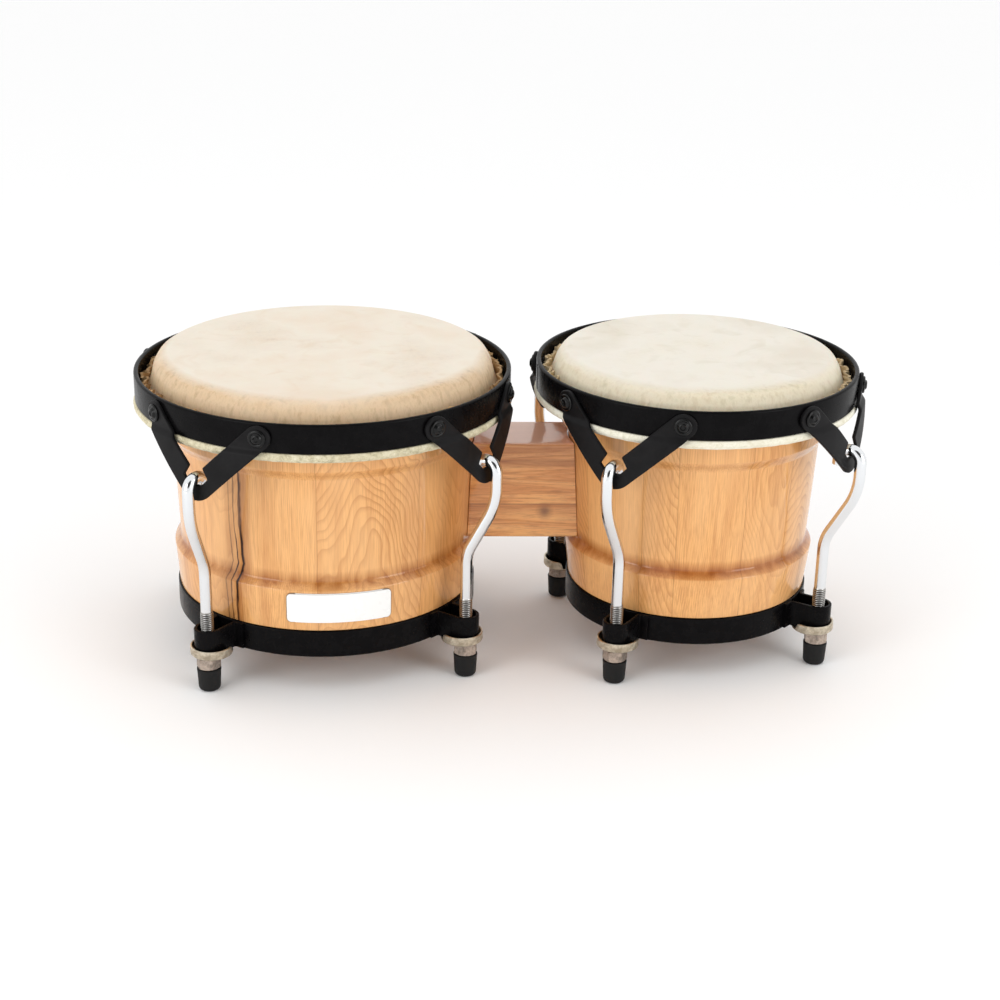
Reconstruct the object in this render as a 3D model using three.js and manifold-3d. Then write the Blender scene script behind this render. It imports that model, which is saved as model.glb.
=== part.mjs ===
// A pair of bongo drums: two open-bottomed wooden drums bolted to a block between them.
// Each head is pulled down by a tension hoop, which four hook rods draw towards the bottom ring.
// The drums stand on the rubber caps at the rods' lower ends.
// Millimetres, +Z up. +X runs from the large drum to the small one, and -Y is the front.

import * as THREE from 'three';
import { mergeVertices } from 'three/addons/utils/BufferGeometryUtils.js';
import Module from 'manifold-3d';

const wasm = await Module();
wasm.setup();

// ---- driving dimensions ----

const FIT_GAP = 0.3; // left between two pieces that touch
const HOOP_SPACE = 15.6; // between the two tension hoops
const HEAD_TOP = 186.3; // playing surface above the floor
const SKIN = 1.2; // thickness of the head
const RODS_PER_DRUM = 4;
const ROUND_SIDES = 36; // facets of the drum-sized rounds, a multiple of the rods
const SMALL_SIDES = 12; // facets of bores and washers

// Each drum is set by its head's and its bottom ring's radii. The shell's band stands proud of
// the ring, its cove is cut into the band, and its waist widens upwards. The walls are those of
// the shell, and the reaches are outwards from the head to the hoop and from the band to the rods.
// The hoop hangs below the head's top. The first lug and hook plate are turned from +X.
const DRUMS = {
  large: {
    headRadius: 99, ringRadius: 93.3, bandProud: 0.9, coveDepth: 4, waistTaper: 2.4,
    waistWall: 4.6, baseWall: 14.2, lugReach: 15.5, hoopReach: 15.3, hoopDrop: 9.3,
    lugTurn: 52.3, plateTurn: 55, towardsBlock: 1,
  },
  small: {
    headRadius: 83.2, ringRadius: 75.8, bandProud: 1.8, coveDepth: 3.8, waistTaper: 3.7,
    waistWall: 5.5, baseWall: 13.6, lugReach: 14.1, hoopReach: 14.9, hoopDrop: 6.3,
    lugTurn: 56.4, plateTurn: 56.2, towardsBlock: -1,
  },
};

// Bottom of the rods, from the floor up: rubber cap, nut, saucer, ear of the ring.
const CAP_HEIGHT = 14.3;
const CAP_RADIUS = 7.3;
const CAP_ROUND = 3;
const CAP_FLOOR = 4; // rubber under the rod's end
const NUT_HEIGHT = 7.2;
const NUT_FLATS = 13;
const SAUCER_FLOOR = 2;
const SAUCER_HEIGHT = 6.4;
const SAUCER_WALL = 1.3;
const SAUCER_RADIUS = 12.9;
const SAUCER_FOOT = 9.5; // radius of the flat under the saucer
const SAUCER_RISE = 1.2; // height of the bevel round that flat
const EAR_WALL = 2;
const EAR_SLOT_RADIUS = 6.1;
const EAR_FLANGE = 5.4; // each foot of the ear, welded to the ring

// Hook rods.
const THREAD_RADIUS = 4;
const SHANK_RADIUS = 3.55;
const THREAD_TOP = 51.5;
const THREAD_CLEARANCE = 0.1;
const WASHER_CLEARANCE = 0.5;
const HOOK_BEND = 7; // centre-line radius of the hook
const HOOK_TAIL = 3; // straight end of the hook
const HOOK_SEAT = 0.6; // crown of the hook above the notch, so that its bend clears the plate
const ROD_OUTER_BEND = 63; // corner under the bow, below the hoop's top
const ROD_INNER_BEND = 97; // corner where the bow starts, below the hoop's top
const OUTER_BEND_RADIUS = 42;
const INNER_BEND_RADIUS = 25;

// Tension hoop and its hook plates. Depths are below the top of the hoop.
const HOOP_HEIGHT = 17.2;
const HOOP_WALL = 3;
const HOOP_EDGE = 0.9;
const PLATE_WALL = 2.2;
const PLATE_HALF_SPAN = 38; // from the plate's middle to each rivet
const RIVET_DEPTH = 8.6;
const LEG_HALF_WIDTH = 7.3;
const APEX_DEPTH = 45.5; // where the middle lines of the two legs meet
const APEX_ROUND = 12.4;
const NOTCH_DEPTH = 41.2;
const NOTCH_BASE = 8.4;
const NOTCH_WIDTH = 16.8;
const NOTCH_MIDDLE_DEPTH = 36.8;
const NOTCH_MOUTH = 9.4;
const JOGGLE_ABOVE = 2.4; // the step starts this far above the hoop's lower edge
const JOGGLE_BELOW = 1.4;
const JOGGLE = 2.4; // step outwards past the flesh hoop
const LEAN = 1.8; // further lean outwards at the apex
const RIVET_RADIUS = 5.2;
const RIVET_SHANK = 2.4;
const RIVET_DOME = 2.6;
const RIVET_TAIL_RADIUS = 3.8;
const RIVET_TAIL = 1;
const RIVET_SIDES = 6;

// Flesh hoop with the skin lapped round it.
const FLESH_HEIGHT = 5.3;
const FLESH_INSET = 4.8; // inside the hoop's outer face
const FLESH_PROUD = 1.2; // outside it

// Bottom ring.
const RING_HEIGHT = 17;
const RING_WALL = 2.2;
const RING_LIP = 7; // width of the lip that carries the shell
const RING_DROP = 1; // ring's lower edge below the ears

// Turned outside of the shells: heights above the floor.
const BAND_TOP = 66;
const WAIST_BASE = 72;
const WAIST_TOP = 135;
const UPPER_BAND = 143;
const UPPER_BAND_INSET = 0.5;
const BEARING_EDGE = 3; // rounding of the shell's upper edge
const RING_REBATE = 1.1; // shell stands this far inside the ring's outer face

// Centre block and its bolts.
const BLOCK_DEPTH = 41.4;
const BLOCK_BASE = 71.2;
const BLOCK_TOP = 132.7;
const BOLT_RADIUS = 4;
const BOLT_HEAD = 5.3;
const BOLT_PITCH = 32; // between a drum's two bolts
const BOLT_GRIP = 24; // length of bolt inside the block
const BOLT_WASHER_RADIUS = 8.5;
const BOLT_WASHER = 1.6;

// Blank badge on the large drum's lower band.
const BADGE_WIDTH = 63;
const BADGE_HEIGHT = 19.5;
const BADGE_CORNER = 3;
const BADGE_WALL = 0.8;
const BADGE_MIDDLE = 55.8;
const BADGE_TURN = 277.2;

// ---- heights that follow from them ----

const NUT_BASE = CAP_HEIGHT + FIT_GAP;
const SAUCER_BASE = NUT_BASE + NUT_HEIGHT + FIT_GAP;
const EAR_BASE = SAUCER_BASE + SAUCER_FLOOR + FIT_GAP;
const RING_BASE = EAR_BASE - RING_DROP;
const RING_TOP = RING_BASE + RING_HEIGHT;
const EAR_HEIGHT = RING_TOP - EAR_BASE;
const SHELL_BASE = RING_BASE + RING_WALL + FIT_GAP;
const SHELL_TOP = HEAD_TOP - SKIN - FIT_GAP;
const EAR_OUTER = EAR_SLOT_RADIUS + EAR_WALL;
// The saucer's lip hugs the ear's nose, so its middle lies inward of the rod.
const SAUCER_FLATS = (SAUCER_RADIUS - SAUCER_WALL) * Math.cos(Math.PI / SMALL_SIDES);
const SAUCER_OFFSET = SAUCER_FLATS - FIT_GAP - EAR_OUTER;
const BLOCK_MIDDLE = (BLOCK_BASE + BLOCK_TOP) / 2;
const JOGGLE_START = HOOP_HEIGHT - JOGGLE_ABOVE;
const JOGGLE_END = HOOP_HEIGHT + JOGGLE_BELOW;

for (const drum of Object.values(DRUMS)) {
  drum.bandRadius = drum.ringRadius + drum.bandProud;
  drum.waistBaseRadius = drum.bandRadius - drum.coveDepth;
  drum.waistTopRadius = drum.waistBaseRadius + drum.waistTaper;
  drum.boreTopRadius = drum.waistTopRadius - drum.waistWall;
  drum.boreBaseRadius = drum.bandRadius - drum.baseWall;
  drum.lugRadius = drum.bandRadius + drum.lugReach;
  drum.hoopRadius = drum.headRadius + drum.hoopReach;
  drum.hoopTop = HEAD_TOP - drum.hoopDrop;
}
const DRUM_SPACING = DRUMS.large.hoopRadius + DRUMS.small.hoopRadius + HOOP_SPACE;

// ---- materials ----

function material(colour, roughness, metalness) {
  return new THREE.MeshStandardMaterial({ color: colour, roughness, metalness });
}

const FINISHES = {
  shell: () => material(0xd9a066, 0.3, 0),
  block: () => material(0xb8724a, 0.35, 0),
  blackSteel: () => material(0x1b1b1d, 0.45, 0.3),
  chrome: () => material(0xd8dadb, 0.12, 1),
  nickel: () => material(0xb9aa96, 0.4, 1),
  zinc: () => material(0x9fa3a6, 0.45, 1),
  rubber: () => material(0x161616, 0.85, 0),
  rawhide: () => material(0xe7dccb, 0.6, 0),
  lappedSkin: () => material(0xd9d0b8, 0.7, 0),
  badge: () => material(0xf4f4f2, 0.35, 0),
};

// ---- geometry helpers ----

function degrees(angle) {
  return THREE.MathUtils.degToRad(angle);
}

// A closed profile of [radius, height] points, outer side upwards, turned about Z.
function turned(profile, sides) {
  const points = profile.map(([radius, height]) => new THREE.Vector2(radius, height));
  const onAxis = profile[0][0] === 0 && profile.at(-1)[0] === 0;
  if (!onAxis) {
    points.push(points[0].clone());
  }
  return new THREE.LatheGeometry(points, sides).rotateX(Math.PI / 2);
}

// Radius of the circle round a polygon whose flats lie at the given radius.
function roundFlats(flatRadius, sides) {
  return flatRadius / Math.cos(Math.PI / sides);
}

function polygonShape(radius, sides, turn = 0) {
  const corners = Array.from({ length: sides }, (_, side) => {
    const angle = turn + (2 * Math.PI * side) / sides;
    return new THREE.Vector2(radius * Math.cos(angle), radius * Math.sin(angle));
  });
  return new THREE.Shape(corners);
}

function plate(shape, thickness, curveSegments = 6) {
  return new THREE.ExtrudeGeometry(shape, { depth: thickness, bevelEnabled: false, curveSegments });
}

function prism(radius, sides, low, high) {
  return plate(polygonShape(radius, sides), high - low).translate(0, 0, low);
}

// A prism or turned piece along Z is laid along X.
function alongX(geometry) {
  return geometry.rotateY(Math.PI / 2);
}

// Closed solid for cutting and joining: one vertex to each place, no empty triangles.
function solid(geometry) {
  const bare = geometry.clone();
  bare.deleteAttribute('normal');
  bare.deleteAttribute('uv');
  const merged = mergeVertices(bare, 1e-4);
  const index = merged.index.array;
  const triangles = [];
  for (let corner = 0; corner < index.length; corner += 3) {
    const [a, b, c] = [index[corner], index[corner + 1], index[corner + 2]];
    if (a !== b && b !== c && c !== a) {
      triangles.push(a, b, c);
    }
  }
  const mesh = new wasm.Mesh({
    numProp: 3,
    vertProperties: merged.attributes.position.array,
    triVerts: new Uint32Array(triangles),
  });
  return new wasm.Manifold(mesh);
}

function geometryOf(body) {
  const mesh = body.getMesh();
  const geometry = new THREE.BufferGeometry();
  geometry.setAttribute('position', new THREE.BufferAttribute(mesh.vertProperties, 3));
  geometry.setIndex(new THREE.BufferAttribute(mesh.triVerts, 1));
  geometry.computeVertexNormals();
  return geometry;
}

function joined(first, ...others) {
  return others.reduce((body, other) => body.add(solid(other)), first);
}

function cut(first, ...others) {
  return others.reduce((body, other) => body.subtract(solid(other)), first);
}

// ---- wooden shells ----

// Outside of a shell, from its base up: seat in the ring, lower band, waist, upper band.
function shellOutside(drum, grow = 0) {
  const seat = drum.ringRadius - RING_WALL - FIT_GAP;
  const points = [
    [seat, SHELL_BASE],
    [seat, RING_TOP + FIT_GAP],
    [drum.ringRadius - RING_REBATE, RING_TOP + FIT_GAP],
    [drum.bandRadius, BAND_TOP],
    [drum.waistBaseRadius, WAIST_BASE],
    [drum.waistTopRadius, WAIST_TOP],
    [drum.headRadius - UPPER_BAND_INSET, UPPER_BAND],
    [drum.headRadius, SHELL_TOP - BEARING_EDGE],
  ];
  return points.map(([radius, height]) => [radius + grow, height]);
}

function boreRadius(drum, height) {
  const share = (height - SHELL_BASE) / (SHELL_TOP - SHELL_BASE);
  return THREE.MathUtils.lerp(drum.boreBaseRadius, drum.boreTopRadius, share);
}

function boltHeights() {
  return [BLOCK_MIDDLE - BOLT_PITCH / 2, BLOCK_MIDDLE + BOLT_PITCH / 2];
}

// Flat face inside the wall where a bolt's washer seats, measured from the drum's axis.
function washerSeat(drum, height) {
  return boreRadius(drum, height + BOLT_WASHER_RADIUS) * Math.cos(Math.PI / ROUND_SIDES);
}

function shellGeometry(drum) {
  const profile = [
    ...shellOutside(drum),
    [drum.headRadius - BEARING_EDGE / 2, SHELL_TOP - BEARING_EDGE / 4],
    [drum.headRadius - BEARING_EDGE, SHELL_TOP],
    [drum.headRadius - 2 * BEARING_EDGE, SHELL_TOP],
    [boreRadius(drum, SHELL_TOP - BEARING_EDGE), SHELL_TOP - BEARING_EDGE],
    [drum.boreBaseRadius, SHELL_BASE],
  ];
  const holes = boltHeights().flatMap((height) => {
    const seat = washerSeat(drum, height);
    const holeRadius = roundFlats(BOLT_RADIUS + FIT_GAP, SMALL_SIDES);
    const spotRadius = roundFlats(BOLT_WASHER_RADIUS + FIT_GAP, SMALL_SIDES);
    return [
      alongX(prism(holeRadius, SMALL_SIDES, 0, drum.headRadius)).translate(0, 0, height),
      alongX(prism(spotRadius, SMALL_SIDES, 0, seat)).translate(0, 0, height),
    ].map((tool) => tool.rotateZ(drum.towardsBlock > 0 ? 0 : Math.PI));
  });
  return geometryOf(cut(solid(turned(profile, ROUND_SIDES)), ...holes));
}

// ---- heads and flesh hoops ----

// The skin lies over the bearing edge and slopes out to the flesh hoop.
function headGeometry(drum) {
  const collarFoot = drum.hoopRadius - FLESH_INSET + SKIN / 2;
  const footHeight = drum.hoopTop - HOOP_HEIGHT;
  const outside = [
    [collarFoot, footHeight],
    [drum.headRadius + 5.2, drum.hoopTop - 7],
    [drum.headRadius + 2.2, SHELL_TOP - BEARING_EDGE],
    [drum.headRadius + 0.8, HEAD_TOP - 1],
    [drum.headRadius - BEARING_EDGE / 2, HEAD_TOP],
    [0, HEAD_TOP],
  ];
  const inside = [
    [0, HEAD_TOP - SKIN],
    [drum.headRadius - BEARING_EDGE, HEAD_TOP - SKIN],
    [drum.headRadius + FIT_GAP, SHELL_TOP - BEARING_EDGE / 2],
    [drum.headRadius + FIT_GAP + 0.5, SHELL_TOP - BEARING_EDGE],
    [drum.headRadius + 5.2 - SKIN, drum.hoopTop - 7],
    [collarFoot - SKIN, footHeight],
  ];
  return turned([...inside, ...outside], ROUND_SIDES);
}

function fleshHoopGeometry(drum) {
  const top = drum.hoopTop - HOOP_HEIGHT - FIT_GAP;
  const inner = drum.hoopRadius - FLESH_INSET;
  const outer = drum.hoopRadius + FLESH_PROUD;
  return turned([
    [inner, top - FLESH_HEIGHT + 1],
    [inner + 1.5, top - FLESH_HEIGHT],
    [outer - 2, top - FLESH_HEIGHT],
    [outer, top - FLESH_HEIGHT / 2],
    [outer - 1, top],
    [inner, top],
  ], ROUND_SIDES);
}

// ---- tension hoop and hook plates ----

function rivetAngle(drum) {
  return Math.asin(PLATE_HALF_SPAN / (drum.hoopRadius + FIT_GAP + PLATE_WALL));
}

function plateAngles(drum) {
  return Array.from({ length: RODS_PER_DRUM }, (_, place) => {
    return degrees(drum.plateTurn + (360 / RODS_PER_DRUM) * place);
  });
}

function hoopGeometry(drum) {
  const inner = drum.hoopRadius - HOOP_WALL;
  const low = drum.hoopTop - HOOP_HEIGHT;
  const band = turned([
    [drum.hoopRadius, low],
    [drum.hoopRadius, drum.hoopTop - HOOP_EDGE],
    [drum.hoopRadius - HOOP_EDGE, drum.hoopTop],
    [inner + HOOP_EDGE, drum.hoopTop],
    [inner, drum.hoopTop - HOOP_EDGE],
    [inner, low],
  ], ROUND_SIDES);
  const holeRadius = roundFlats(RIVET_SHANK + FIT_GAP, RIVET_SIDES);
  const holes = plateAngles(drum).flatMap((angle) => [-1, 1].map((side) => {
    const hole = alongX(prism(holeRadius, RIVET_SIDES, inner - HOOP_WALL, drum.hoopRadius + HOOP_WALL));
    return hole.translate(0, 0, drum.hoopTop - RIVET_DEPTH).rotateZ(angle + side * rivetAngle(drum));
  }));
  return geometryOf(cut(solid(band), ...holes));
}

// Outline of a V-shaped plate, with x along the hoop and y up from the hoop's top.
function plateOutline() {
  const legAngle = Math.atan2(APEX_DEPTH - RIVET_DEPTH, PLATE_HALF_SPAN);
  const [along, up] = [Math.cos(legAngle), Math.sin(legAngle)];
  const outerApex = -APEX_DEPTH - LEG_HALF_WIDTH / along;
  const innerApex = -APEX_DEPTH + LEG_HALF_WIDTH / along;
  const mouthHeight = innerApex + (NOTCH_MOUTH / 2) * Math.tan(legAngle);
  const outline = new THREE.Shape();
  outline.absarc(0, outerApex + APEX_ROUND / along, APEX_ROUND, -Math.PI / 2 - legAngle,
    -Math.PI / 2 + legAngle, false);
  outline.absarc(PLATE_HALF_SPAN, -RIVET_DEPTH, LEG_HALF_WIDTH, legAngle - Math.PI / 2,
    legAngle + Math.PI / 2, false);
  outline.lineTo(NOTCH_MOUTH / 2, mouthHeight);
  outline.lineTo(NOTCH_WIDTH / 2, -NOTCH_MIDDLE_DEPTH);
  outline.lineTo(NOTCH_BASE / 2, -NOTCH_DEPTH);
  outline.lineTo(-NOTCH_BASE / 2, -NOTCH_DEPTH);
  outline.lineTo(-NOTCH_WIDTH / 2, -NOTCH_MIDDLE_DEPTH);
  outline.lineTo(-NOTCH_MOUTH / 2, mouthHeight);
  outline.lineTo(-PLATE_HALF_SPAN + LEG_HALF_WIDTH * up, -RIVET_DEPTH + LEG_HALF_WIDTH * along);
  outline.absarc(-PLATE_HALF_SPAN, -RIVET_DEPTH, LEG_HALF_WIDTH, Math.PI / 2 - legAngle,
    (3 * Math.PI) / 2 - legAngle, false);
  return outline;
}

// How far a plate stands out from the hoop at a depth below the hoop's top.
function plateOffset(depth) {
  const step = THREE.MathUtils.clamp((depth - JOGGLE_START) / (JOGGLE_END - JOGGLE_START), 0, 1);
  const lean = Math.max(0, (depth - JOGGLE_END) / (APEX_DEPTH - JOGGLE_END));
  return FIT_GAP + JOGGLE * step + LEAN * lean;
}

// One plate in the drum's frame: its outline is cut from a turned sheet that has the joggle.
function hookPlateGeometry(drum) {
  const depths = [2 * APEX_DEPTH, JOGGLE_END, JOGGLE_START, -HOOP_HEIGHT];
  const inside = depths.map((depth) => [drum.hoopRadius + plateOffset(depth), drum.hoopTop - depth]);
  const outside = inside.map(([radius, height]) => [radius + PLATE_WALL, height]);
  const sheet = solid(turned([...outside, ...inside.reverse()], ROUND_SIDES));
  const turn = degrees(drum.plateTurn);
  const facing = new THREE.Matrix4().makeBasis(
    new THREE.Vector3(0, 1, 0),
    new THREE.Vector3(0, 0, 1),
    new THREE.Vector3(1, 0, 0),
  );
  const outline = plate(plateOutline(), 2 * drum.hoopRadius, 3).applyMatrix4(facing);
  const body = sheet.intersect(solid(outline.translate(0, 0, drum.hoopTop).rotateZ(turn)));
  const rivets = [-1, 1].map((side) => rivetGeometry(drum).rotateZ(turn + side * rivetAngle(drum)));
  return geometryOf(joined(body, ...rivets));
}

// A rivet along X: domed head outside the plate, shank through the hoop, tail inside it.
function rivetGeometry(drum) {
  const tail = (drum.hoopRadius - HOOP_WALL) * Math.cos(Math.PI / ROUND_SIDES) - FIT_GAP;
  const face = drum.hoopRadius + FIT_GAP + PLATE_WALL;
  const profile = [
    [0, tail - RIVET_TAIL],
    [RIVET_TAIL_RADIUS, tail - RIVET_TAIL],
    [RIVET_TAIL_RADIUS, tail],
    [RIVET_SHANK, tail],
    [RIVET_SHANK, face - PLATE_WALL / 2],
    [RIVET_RADIUS, face - PLATE_WALL / 2],
    [RIVET_RADIUS, face + RIVET_DOME / 2],
    [0, face + RIVET_DOME],
  ];
  return alongX(turned(profile, RIVET_SIDES)).translate(0, 0, drum.hoopTop - RIVET_DEPTH);
}

// ---- hook rods ----

// Sweep path through given stations, with one step of the sweep to each of them.
class StationPath extends THREE.Curve {
  constructor(stations) {
    super();
    this.stations = stations;
  }

  getPoint(share) {
    const place = share * (this.stations.length - 1);
    const before = Math.min(Math.floor(place), this.stations.length - 2);
    return this.stations[before].clone().lerp(this.stations[before + 1], place - before);
  }

  getPointAt(share) {
    return this.getPoint(share);
  }

  getTangentAt(share) {
    return this.getTangent(share);
  }
}

// Rounds the inner corners of a line: each bend has its radius and its number of steps.
function bentLine(corners, bends) {
  const stations = [corners[0]];
  bends.forEach(({ radius, steps }, place) => {
    const corner = corners[place + 1];
    const back = corners[place].clone().sub(corner).normalize();
    const ahead = corners[place + 2].clone().sub(corner).normalize();
    const halfAngle = back.angleTo(ahead) / 2;
    const middle = back.clone().add(ahead).normalize().multiplyScalar(radius / Math.sin(halfAngle));
    const centre = corner.clone().add(middle);
    const start = corner.clone().addScaledVector(back, radius / Math.tan(halfAngle));
    const axis = ahead.clone().cross(back).normalize();
    for (let step = 0; step <= steps; step += 1) {
      const swing = ((Math.PI - 2 * halfAngle) * step) / steps;
      stations.push(start.clone().sub(centre).applyAxisAngle(axis, swing).add(centre));
    }
  });
  stations.push(corners.at(-1));
  return stations;
}

function onDrum(radius, turn, height) {
  return new THREE.Vector3(radius * Math.cos(turn), radius * Math.sin(turn), height);
}

// Middle of the plate's sheet at the notch, where the hook hangs.
function hookRadius(drum) {
  return drum.hoopRadius + plateOffset(NOTCH_DEPTH) + PLATE_WALL / 2;
}

function rodGeometry(drum) {
  const lug = degrees(drum.lugTurn);
  const plateAngle = degrees(drum.plateTurn);
  const bow = hookRadius(drum) + HOOK_BEND;
  const hookTop = drum.hoopTop - NOTCH_DEPTH + HOOK_SEAT + SHANK_RADIUS;
  const tip = hookRadius(drum) - HOOK_BEND;
  const corners = [
    onDrum(drum.lugRadius, lug, THREAD_TOP - 1),
    onDrum(drum.lugRadius, lug, drum.hoopTop - ROD_INNER_BEND),
    onDrum(bow, plateAngle, drum.hoopTop - ROD_OUTER_BEND),
    onDrum(bow, plateAngle, hookTop),
    onDrum(tip, plateAngle, hookTop),
    onDrum(tip, plateAngle, hookTop - HOOK_BEND - HOOK_TAIL),
  ];
  const path = new StationPath(bentLine(corners, [
    { radius: INNER_BEND_RADIUS, steps: 2 },
    { radius: OUTER_BEND_RADIUS, steps: 3 },
    { radius: HOOK_BEND, steps: 3 },
    { radius: HOOK_BEND, steps: 3 },
  ]));
  const wire = new THREE.ExtrudeGeometry(polygonShape(SHANK_RADIUS, 8), {
    steps: path.stations.length - 1,
    extrudePath: path,
  });
  const thread = prism(THREAD_RADIUS, 8, CAP_FLOOR + FIT_GAP, THREAD_TOP);
  thread.translate(drum.lugRadius * Math.cos(lug), drum.lugRadius * Math.sin(lug), 0);
  return geometryOf(joined(solid(wire), thread));
}

// ---- bottom ring, nuts, saucers and feet ----

// U-shaped strap round a rod, with x outwards from the ring.
function earOutline(drum) {
  const root = drum.ringRadius - RING_WALL / 2;
  const outline = new THREE.Shape();
  outline.moveTo(root, -EAR_OUTER);
  outline.absarc(drum.lugRadius, 0, EAR_OUTER, -Math.PI / 2, Math.PI / 2, false);
  outline.lineTo(root, EAR_OUTER);
  outline.lineTo(root, EAR_SLOT_RADIUS);
  outline.absarc(drum.lugRadius, 0, EAR_SLOT_RADIUS, Math.PI / 2, -Math.PI / 2, true);
  outline.lineTo(root, -EAR_SLOT_RADIUS);
  return outline;
}

// One foot of the strap, bent along the ring.
function flangeOutline(drum, side) {
  const inner = drum.ringRadius - RING_WALL / 2;
  const outer = drum.ringRadius + EAR_WALL;
  const near = side * Math.asin(EAR_SLOT_RADIUS / outer);
  const far = side * Math.asin((EAR_OUTER + EAR_FLANGE) / outer);
  const outline = new THREE.Shape();
  outline.absarc(0, 0, outer, Math.min(near, far), Math.max(near, far), false);
  outline.absarc(0, 0, inner, Math.max(near, far), Math.min(near, far), true);
  return outline;
}

function lugAngles(drum) {
  return Array.from({ length: RODS_PER_DRUM }, (_, place) => {
    return degrees(drum.lugTurn + (360 / RODS_PER_DRUM) * place);
  });
}

function ringGeometry(drum) {
  const band = turned([
    [drum.ringRadius, RING_BASE],
    [drum.ringRadius, RING_TOP],
    [drum.ringRadius - RING_WALL, RING_TOP],
    [drum.ringRadius - RING_WALL, RING_BASE + RING_WALL],
    [drum.ringRadius - RING_LIP, RING_BASE + RING_WALL],
    [drum.ringRadius - RING_LIP, RING_BASE],
  ], ROUND_SIDES);
  const straps = lugAngles(drum).flatMap((angle) => {
    const pieces = [earOutline(drum), flangeOutline(drum, 1), flangeOutline(drum, -1)];
    return pieces.map((piece) => plate(piece, EAR_HEIGHT, 2).translate(0, 0, EAR_BASE).rotateZ(angle));
  });
  return geometryOf(joined(solid(band), ...straps));
}

// Pressed saucer: its lip holds the ear's nose and is cut away where the strap leaves it.
function saucerGeometry() {
  const inner = SAUCER_RADIUS - SAUCER_WALL;
  const cup = turned([
    [0, 0],
    [SAUCER_FOOT, 0],
    [SAUCER_RADIUS, SAUCER_RISE],
    [SAUCER_RADIUS, SAUCER_HEIGHT],
    [inner, SAUCER_HEIGHT],
    [inner, SAUCER_FLOOR],
    [0, SAUCER_FLOOR],
  ], SMALL_SIDES).rotateZ(Math.PI / SMALL_SIDES).translate(-SAUCER_OFFSET, 0, 0);
  const boreRadius = roundFlats(THREAD_RADIUS + WASHER_CLEARANCE, SMALL_SIDES);
  const bore = prism(boreRadius, SMALL_SIDES, -1, SAUCER_HEIGHT);
  const strapReach = Math.sqrt(inner ** 2 - (EAR_OUTER + 2 * FIT_GAP) ** 2);
  const mouth = new THREE.BoxGeometry(SAUCER_RADIUS, 4 * SAUCER_RADIUS, SAUCER_HEIGHT);
  mouth.translate(-SAUCER_OFFSET - strapReach * 0.9 - SAUCER_RADIUS / 2, 0, SAUCER_FLOOR + SAUCER_HEIGHT / 2);
  return geometryOf(cut(solid(cup), bore, mouth));
}

function nutGeometry() {
  const shape = polygonShape(roundFlats(NUT_FLATS / 2, 6), 6);
  shape.holes.push(polygonShape(roundFlats(THREAD_RADIUS + THREAD_CLEARANCE, SMALL_SIDES), SMALL_SIDES));
  return plate(shape, NUT_HEIGHT);
}

function footGeometry() {
  const socket = roundFlats(THREAD_RADIUS + FIT_GAP, SMALL_SIDES);
  return turned([
    [0, 0],
    [CAP_RADIUS - CAP_ROUND, 0],
    [CAP_RADIUS - 0.3 * CAP_ROUND, 0.3 * CAP_ROUND],
    [CAP_RADIUS, CAP_ROUND],
    [CAP_RADIUS, CAP_HEIGHT],
    [socket, CAP_HEIGHT],
    [socket, CAP_FLOOR],
    [0, CAP_FLOOR],
  ], SMALL_SIDES);
}

// ---- centre block and its bolts ----

// Where a bolt's point lies, measured from its drum's axis.
function boltPoint(drum) {
  return drum.waistTopRadius + BOLT_GRIP;
}

function blockGeometry() {
  const stock = new THREE.BoxGeometry(DRUM_SPACING, BLOCK_DEPTH, BLOCK_TOP - BLOCK_BASE);
  stock.translate(DRUM_SPACING / 2, 0, BLOCK_MIDDLE);
  const tools = [DRUMS.large, DRUMS.small].flatMap((drum) => {
    const outside = shellOutside(drum, FIT_GAP);
    const envelope = turned([[0, SHELL_BASE], ...outside, [0, outside.at(-1)[1]]], ROUND_SIDES);
    const holeRadius = roundFlats(BOLT_RADIUS + FIT_GAP, SMALL_SIDES);
    const holes = boltHeights().map((height) => {
      const hole = alongX(prism(holeRadius, SMALL_SIDES, 0, boltPoint(drum) + 2));
      return hole.translate(0, 0, height);
    });
    return [envelope, ...holes].map((tool) => {
      return drum.towardsBlock > 0 ? tool : tool.rotateZ(Math.PI).translate(DRUM_SPACING, 0, 0);
    });
  });
  return geometryOf(cut(solid(stock), ...tools));
}

function boltWasherGeometry(drum, height) {
  const shape = polygonShape(BOLT_WASHER_RADIUS, SMALL_SIDES);
  shape.holes.push(polygonShape(roundFlats(BOLT_RADIUS + FIT_GAP, SMALL_SIDES), SMALL_SIDES));
  const seat = washerSeat(drum, height) - FIT_GAP;
  return alongX(plate(shape, BOLT_WASHER).translate(0, 0, seat - BOLT_WASHER));
}

function boltGeometry(drum, height) {
  const seat = washerSeat(drum, height) - 2 * FIT_GAP - BOLT_WASHER;
  const head = alongX(prism(roundFlats(NUT_FLATS / 2, 6), 6, seat - BOLT_HEAD, seat));
  const shank = alongX(prism(BOLT_RADIUS, 10, seat - 1, boltPoint(drum)));
  return geometryOf(joined(solid(head), shank));
}

// ---- badge ----

function badgeOutline() {
  const [x, y, corner] = [BADGE_WIDTH / 2, BADGE_HEIGHT / 2, BADGE_CORNER];
  const outline = new THREE.Shape();
  outline.absarc(x - corner, corner - y, corner, -Math.PI / 2, 0, false);
  outline.absarc(x - corner, y - corner, corner, 0, Math.PI / 2, false);
  outline.absarc(corner - x, y - corner, corner, Math.PI / 2, Math.PI, false);
  outline.absarc(corner - x, corner - y, corner, Math.PI, (3 * Math.PI) / 2, false);
  return outline;
}

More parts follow.
